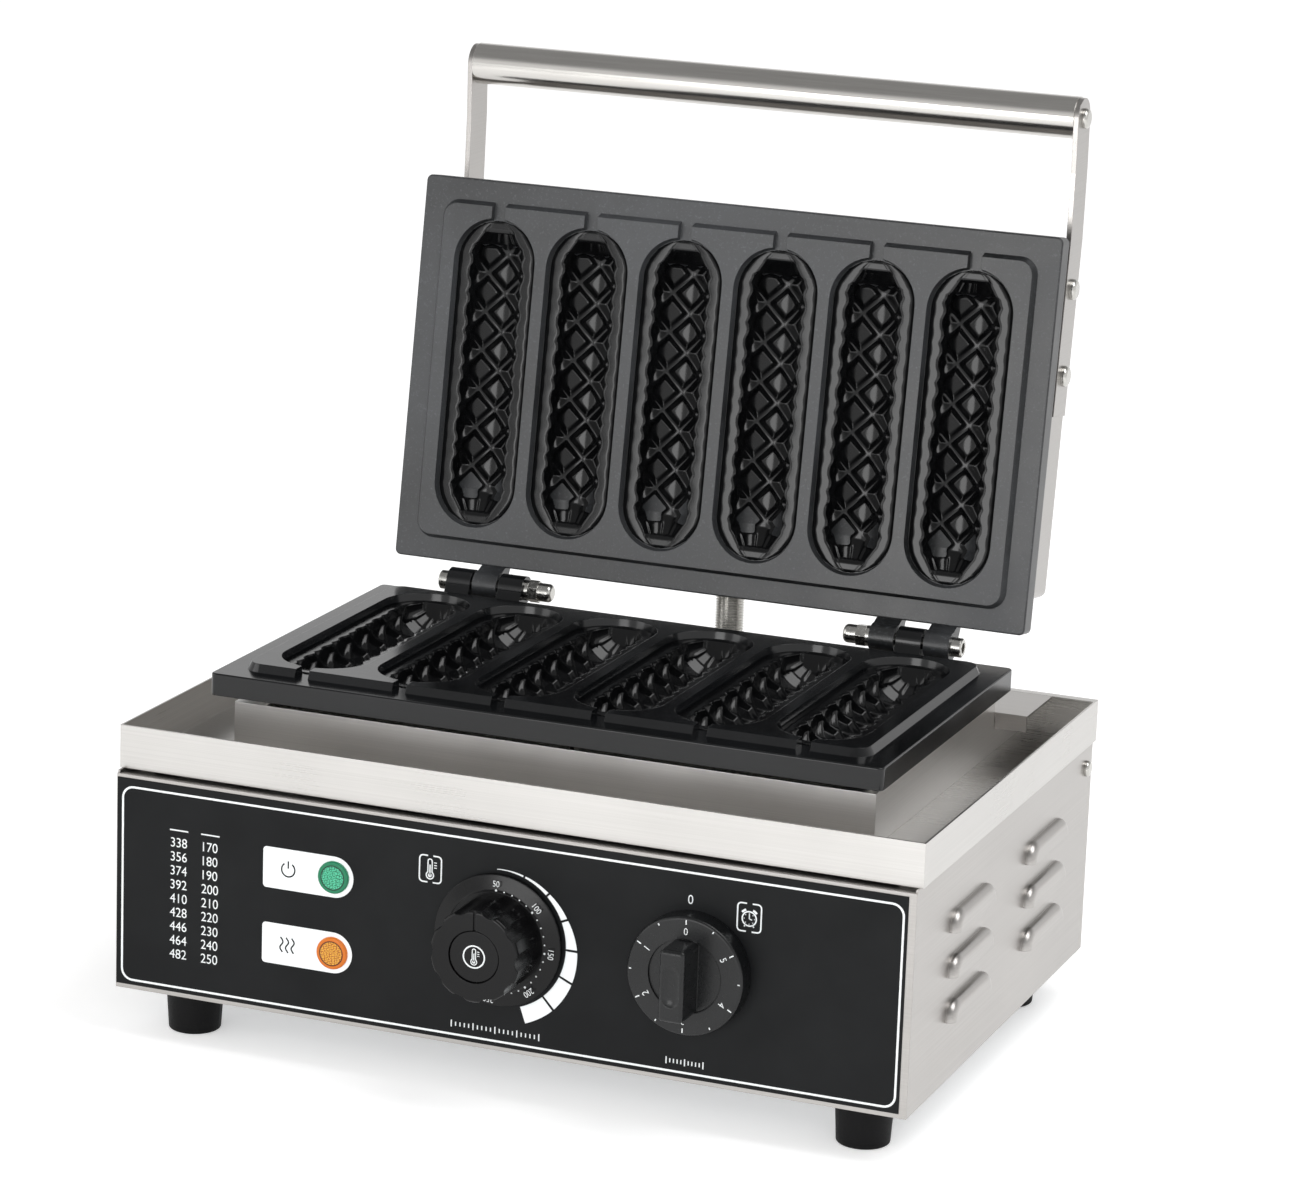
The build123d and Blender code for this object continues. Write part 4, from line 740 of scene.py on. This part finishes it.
# Alarm clock: a ring with two bells, two feet, two hands and eight dots, all of them
# shares of its size
def alarmClock(centre, size):
    r = size * 0.36
    c = np.array(centre) - (0, size * 0.06)
    parts = [stroke(arc(c, r, 0, 350, 36), size * 0.07, printBack, printFront, True)]
    for side in (-1, 1):
        parts.append(stroke(arc(c, r * 1.32, side * 22, side * 52, 8), size * 0.11, printBack, printFront))
        foot = onCircle(c, r, side * 150)
        parts.append(stroke(np.array([foot, foot + (side * size * 0.07, -size * 0.10)]), size * 0.06,
                            printBack, printFront))
    for hand in ((0, r * 0.66), (r * 0.40, -r * 0.12)):
        parts.append(stroke(np.array([c, c + hand]), size * 0.055, printBack, printFront))
    parts += [plate(arc(onCircle(c, r * 0.74, angle), size * 0.025, 0, 315, 8), printBack, printFront)
              for angle in range(0, 360, 45)]
    return parts


# A plain ruler of ticks under a dial, every fifth one tall
def tickRow(centre, width, count):
    tall, short, line = symbols["tick"]
    parts = []
    for i in range(count):
        x = centre[0] - width / 2 + width * i / (count - 1)
        reach = (tall if i % 5 == 0 else short) / 2
        parts.append(stroke(np.array([(x, centre[1] - reach), (x, centre[1] + reach)]), line,
                            printBack, printFront))
    return parts


# A symbol in brackets over each dial, and a ruler under it
def printSymbols():
    s = symbols
    parts = brackets(*s["heatFrame"]) + thermometer(*s["heatSign"], printBack, printFront)
    parts += brackets(*s["timeFrame"]) + alarmClock(*s["timeSign"])
    for ruler in s["rulers"]:
        parts += tickRow(*ruler)
    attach(meshPiece("panelSymbols", *joined(parts), whiteInk), "base")
    print("symbols printed")


printSymbols()

tags = {
    "left": -121.7, "radius": 10.0, "corner": 1.8, "lampX": -85.2, "lampZ": (95.6, 58.6),
    "signX": 13.0, "line": 0.75, "depths": (0.02, -0.04),       # of the black signs, from the white face
    "ring": (3.4, 35, 325), "bar": (0.6, 4.2),
    "wave": (0.75, 3.7, 2.9, 1.25),      # reach sideways, half the height, apart, and half turns
}


# A white tag with a round end behind each lamp: a ring with a bar on the power lamp's,
# and on the heat lamp's three waves, x = reach x sin(half turns x pi x height share)
def printTags():
    g = tags
    plates = []
    for z in g["lampZ"]:
        r, c = g["radius"], g["corner"]
        outline = np.concatenate([arc((g["lampX"], z), r, 0, 180, 30),
                                  arc((g["left"] + c, z - r + c), c, 180, 270, 8),
                                  arc((g["left"] + c, z + r - c), c, 270, 360, 8)])
        plates.append(plate(outline, printBack, printFront))
    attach(meshPiece("lampTags", *joined(plates), whiteInk), "base")

    back, front = [printFront + depth for depth in g["depths"]]
    powerSign, heatSign = [np.array((g["left"] + g["signX"], z)) for z in g["lampZ"]]
    signs = [stroke(arc(powerSign, *g["ring"], 30), g["line"], back, front),
             stroke(np.array([powerSign + (0, z) for z in g["bar"]]), g["line"], back, front)]
    reach, half, apart, halfTurns = g["wave"]
    t = np.linspace(-1, 1, 22)
    for k in (-1, 0, 1):
        wave = np.column_stack([reach * np.sin(t * math.pi * halfTurns) + apart * k, half * t])
        signs.append(stroke(wave + heatSign, g["line"], back, front))
    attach(meshPiece("tagSymbols", *joined(signs), blackInk), "base")
    print("tags printed")


printTags()

# Numbers and marks that turn with the two dials

temperatureDial = {
    "face": 5.6,                         # in front of the panel
    "textRadius": 28.0, "dotRadius": 24.9, "digit": 2.9, "squeeze": 0.86,
    "marks": (("50", 0), ("100", 47), ("150", 94), ("200", 141), ("250", 185)), "dotsPerMark": 5,
    "dots": (0.55, 0.38),                # radius at a number, and between numbers
    "capRing": 5.2, "capLine": 0.7, "capSign": 7.6,
    "ink": 0.08, "capInk": 0.06,         # how far the prints stand out
}


# Numbers on the dial's skirt, each turned with its place, with a ring of dots inside them,
# and a thermometer in a ring on the knob's cap
def printTemperatureDial():
    d = temperatureDial
    centre = np.array((panel["dialX"], panel["dialZ"]))
    face = panelFront - d["face"]
    back, front = face + printSink, face - d["ink"]
    parts = [number(text, onCircle(centre, d["textRadius"], angle), d["digit"], back, front, angle, d["squeeze"])
             for text, angle in d["marks"]]
    places = [angle for _, angle in d["marks"]]
    dots = np.interp(np.arange((len(places) - 1) * d["dotsPerMark"] + 1) / d["dotsPerMark"],
                     np.arange(len(places)), places)
    for i, angle in enumerate(dots):
        size = d["dots"][0 if i % d["dotsPerMark"] == 0 else 1]
        parts.append(plate(arc(onCircle(centre, d["dotRadius"], angle), size, 0, 330, 12), back, front))
    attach(meshPiece("dialNumbers", *joined(parts), whiteInk), "temperature_control")

    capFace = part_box("temperature_cap")[0].y / mm
    back, front = capFace + printSink, capFace - d["capInk"]
    parts = [stroke(arc(centre, d["capRing"], 0, 352, 44), d["capLine"], back, front, True)]
    parts += thermometer(centre, d["capSign"], back, front)
    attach(meshPiece("dialSymbol", *joined(parts), whiteInk), "temperature_control")
    print("temperature dial printed")


printTemperatureDial()

timerDial = {"face": 10.6, "textRadius": 21.3, "digit": 3.3, "squeeze": 0.9, "line": 0.6,
             "tick": (24.6, 26.8), "shortTick": 1.1, "count": 12, "ink": 0.08}


# Twelve ticks, counterclockwise from the top, with the numbers 0 to 5 at every second one
def printTimerDial():
    d = timerDial
    centre = np.array((panel["timerX"], panel["dialZ"]))
    face = panelFront - d["face"]
    back, front = face + printSink, face - d["ink"]
    inner, outer = d["tick"]
    parts = []
    for i in range(d["count"]):
        angle = -360.0 / d["count"] * i
        start = outer - d["shortTick"] if i % 2 else inner
        parts.append(stroke(np.array([onCircle(centre, start, angle), onCircle(centre, outer, angle)]),
                            d["line"], back, front))
        if i % 2 == 0:
            parts.append(number(str(i // 2), onCircle(centre, d["textRadius"], angle), d["digit"], back, front,
                                angle, d["squeeze"]))
    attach(meshPiece("timerNumbers", *joined(parts), whiteInk), "timer_control")
    print("timer dial printed")


printTimerDial()


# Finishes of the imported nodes

powerLamp, heatLamp = [(tags["lampX"] * mm, panelFront * mm, z * mm) for z in tags["lampZ"]]
# each lens's colours: pebble middles with a painted highlight, gaps and groove with painted shade, and the rim
finishes["green_lens"] = pebbledLens("greenAcrylicLens", ("56D2A6", "0A6B49", "053424", "0F7550"), powerLamp)
finishes["amber_lens"] = pebbledLens("amberAcrylicLens", ("EFB334", "A2520A", "552506", "CE6C12"), heatLamp)

# the tray and the pedestal take lighter copies of the satin steel, a painted highlight of the lamps on the tray and
# painted light that lifts the shade on the pedestal under the plate, the timer's knob the palest plastic, and the
# plate below is glossier than the one above
ownFinish = {"top_tray": "stainless_painted_highlight", "pedestal": "stainless_painted_light", "timer_knob": "matt_plastic",
             "lower_casting": "glossy_nonstick"}

for row in frame["record"]["subparts"]:
    node = frame["nodes"][row["node"]]
    node.data.materials.clear()
    node.data.materials.append(finishes[ownFinish.get(row["node"], row["material_slot"])])
print("packed nodes finished")


# Floor, light and camera

studio = {
    "target": (0.0, 0.031555, 0.1988), "azimuth": 21.06, "elevation": 14.41, "roll": 2.05,
    "distance": 2.3438, "lens": 131.5, "sensor": 36, "farthest": 50,
    "floorHex": "F2F2F2", "floorHalf": 8.0, "floorLevel": -0.0002,
    "floorGlow": (0.36, 0.50), "glowReach": (0.45, 1.7),    # near and far, and the distances between
    "world": 0.60,
    "overhead": 0.34, "overheadFrom": (0.36, 0.62),         # what metal sees up there, and the heights between
    "lampTarget": (0, 0, 0.2),
    "lamps": (                           # name, place, size, power, and whether metal mirrors it
        ("topSoftbox", (1.0, -0.1, 1.8), (1.0, 1.4), 17, True),
        ("leftSoftbox", (-1.9, -1.2, 1.0), (1.0, 1.6), 8, True),
        ("frontSoftbox", (-0.35, -2.0, 0.40), (0.9, 0.7), 8, True),
        ("frontFill", (0.9, -2.2, 1.0), (1.6, 1.2), 18, False),
    ),
}


# 1 for rays off glossy and through clear surfaces, and 1 for rays from the camera
def rayKinds(tree):
    path = addNode(tree, "ShaderNodeLightPath")
    mirrored = addNode(tree, "ShaderNodeMath", {"operation": "MAXIMUM"},
                       {0: path.outputs["Is Glossy Ray"], 1: path.outputs["Is Transmission Ray"]})
    return mirrored, path.outputs["Is Camera Ray"]


# A painted floor that is white where it is seen and keeps the machine's shadow: its glow
# grows with the distance from the middle, as the lamps' light falls off
def makeFloor():
    s = studio
    material, tree, shader, place, _ = newMaterial("paleFloorPaint", {
        "Base Color": linearColour(s["floorHex"]), "Roughness": 0.9, "Specular IOR Level": 0.1,
        "Emission Color": (1, 1, 1, 1)})
    away = addNode(tree, "ShaderNodeVectorMath", {"operation": "LENGTH"}, {0: place}).outputs["Value"]
    level = addNode(tree, "ShaderNodeMapRange", {"From Min": s["glowReach"][0], "From Max": s["glowReach"][1],
                                                 "To Min": s["floorGlow"][0], "To Max": s["floorGlow"][1]},
                    {"Value": away})
    mirrored, camera = rayKinds(tree)
    seen = addNode(tree, "ShaderNodeMath", {"operation": "MAXIMUM"}, {0: camera, 1: mirrored})
    glow = addNode(tree, "ShaderNodeMath", {"operation": "MULTIPLY"}, {0: level, 1: seen})
    tree.links.new(glow.outputs[0], shader.inputs["Emission Strength"])
    half = s["floorHalf"] / mm
    corners = [(x, y, s["floorLevel"] / mm) for x, y in ((-half, -half), (half, -half), (half, half), (-half, half))]
    meshPiece("floor", corners, [[0, 1, 2, 3]], material)


# White to the camera. Metal sees white at the horizon and grey overhead, and surfaces
# get the plain level
def makeWorld():
    s = studio
    world = bpy.data.worlds.new("studio")
    bpy.context.scene.world = world
    world.use_nodes = True
    tree = world.node_tree
    tree.nodes.clear()
    direction = addNode(tree, "ShaderNodeTexCoord").outputs["Generated"]
    height = addNode(tree, "ShaderNodeSeparateXYZ", links={0: direction}).outputs[2]
    sky = addNode(tree, "ShaderNodeMapRange", {"From Min": s["overheadFrom"][0], "From Max": s["overheadFrom"][1],
                                               "To Min": 1.0, "To Max": s["overhead"]}, {"Value": height})
    mirrored, camera = rayKinds(tree)
    level = addNode(tree, "ShaderNodeMix", {2: s["world"]}, {0: mirrored, 3: sky})
    strength = addNode(tree, "ShaderNodeMath", {"operation": "MAXIMUM"}, {0: level, 1: camera})
    shade = addNode(tree, "ShaderNodeBackground", {"Color": (1, 1, 1, 1)}, {"Strength": strength})
    addNode(tree, "ShaderNodeOutputWorld", links={"Surface": shade})


# A softbox that looks at the machine's middle
def areaLight(name, place, size, power, mirrored):
    light = bpy.data.lights.new(name, "AREA")
    light.shape = "RECTANGLE"
    light.size, light.size_y = size
    light.energy = power
    lamp = bpy.data.objects.new(name, light)
    lamp.visible_glossy = mirrored
    lamp.location = place
    lamp.rotation_mode = "QUATERNION"
    lamp.rotation_quaternion = (Vector(studio["lampTarget"]) - Vector(place)).to_track_quat("-Z", "Y")
    bpy.context.scene.collection.objects.link(lamp)


# The photograph's camera: back from the target along its azimuth and elevation, and
# rolled about its own line of sight
def makeCamera():
    s = studio
    azimuth, elevation, roll = [math.radians(s[k]) for k in ("azimuth", "elevation", "roll")]
    level = math.cos(elevation)
    back = Vector((math.sin(azimuth) * level, -math.cos(azimuth) * level, math.sin(elevation)))
    right = Vector((math.cos(azimuth), math.sin(azimuth), 0))
    up = back.cross(right)
    turnedRight = right * math.cos(roll) + up * math.sin(roll)
    turnedUp = up * math.cos(roll) - right * math.sin(roll)
    data = bpy.data.cameras.new("camera")
    data.sensor_width = s["sensor"]
    data.lens = s["lens"]
    data.clip_end = s["farthest"]
    camera = bpy.data.objects.new("camera", data)
    turned = Matrix((turnedRight, turnedUp, back)).transposed().to_4x4()
    camera.matrix_world = Matrix.Translation(Vector(s["target"]) + back * s["distance"]) @ turned
    bpy.context.scene.collection.objects.link(camera)
    bpy.context.scene.camera = camera


makeFloor()
makeWorld()
for lamp in studio["lamps"]:
    areaLight(*lamp)
makeCamera()
bpy.context.scene.view_settings.view_transform = "Standard"
print("studio set")
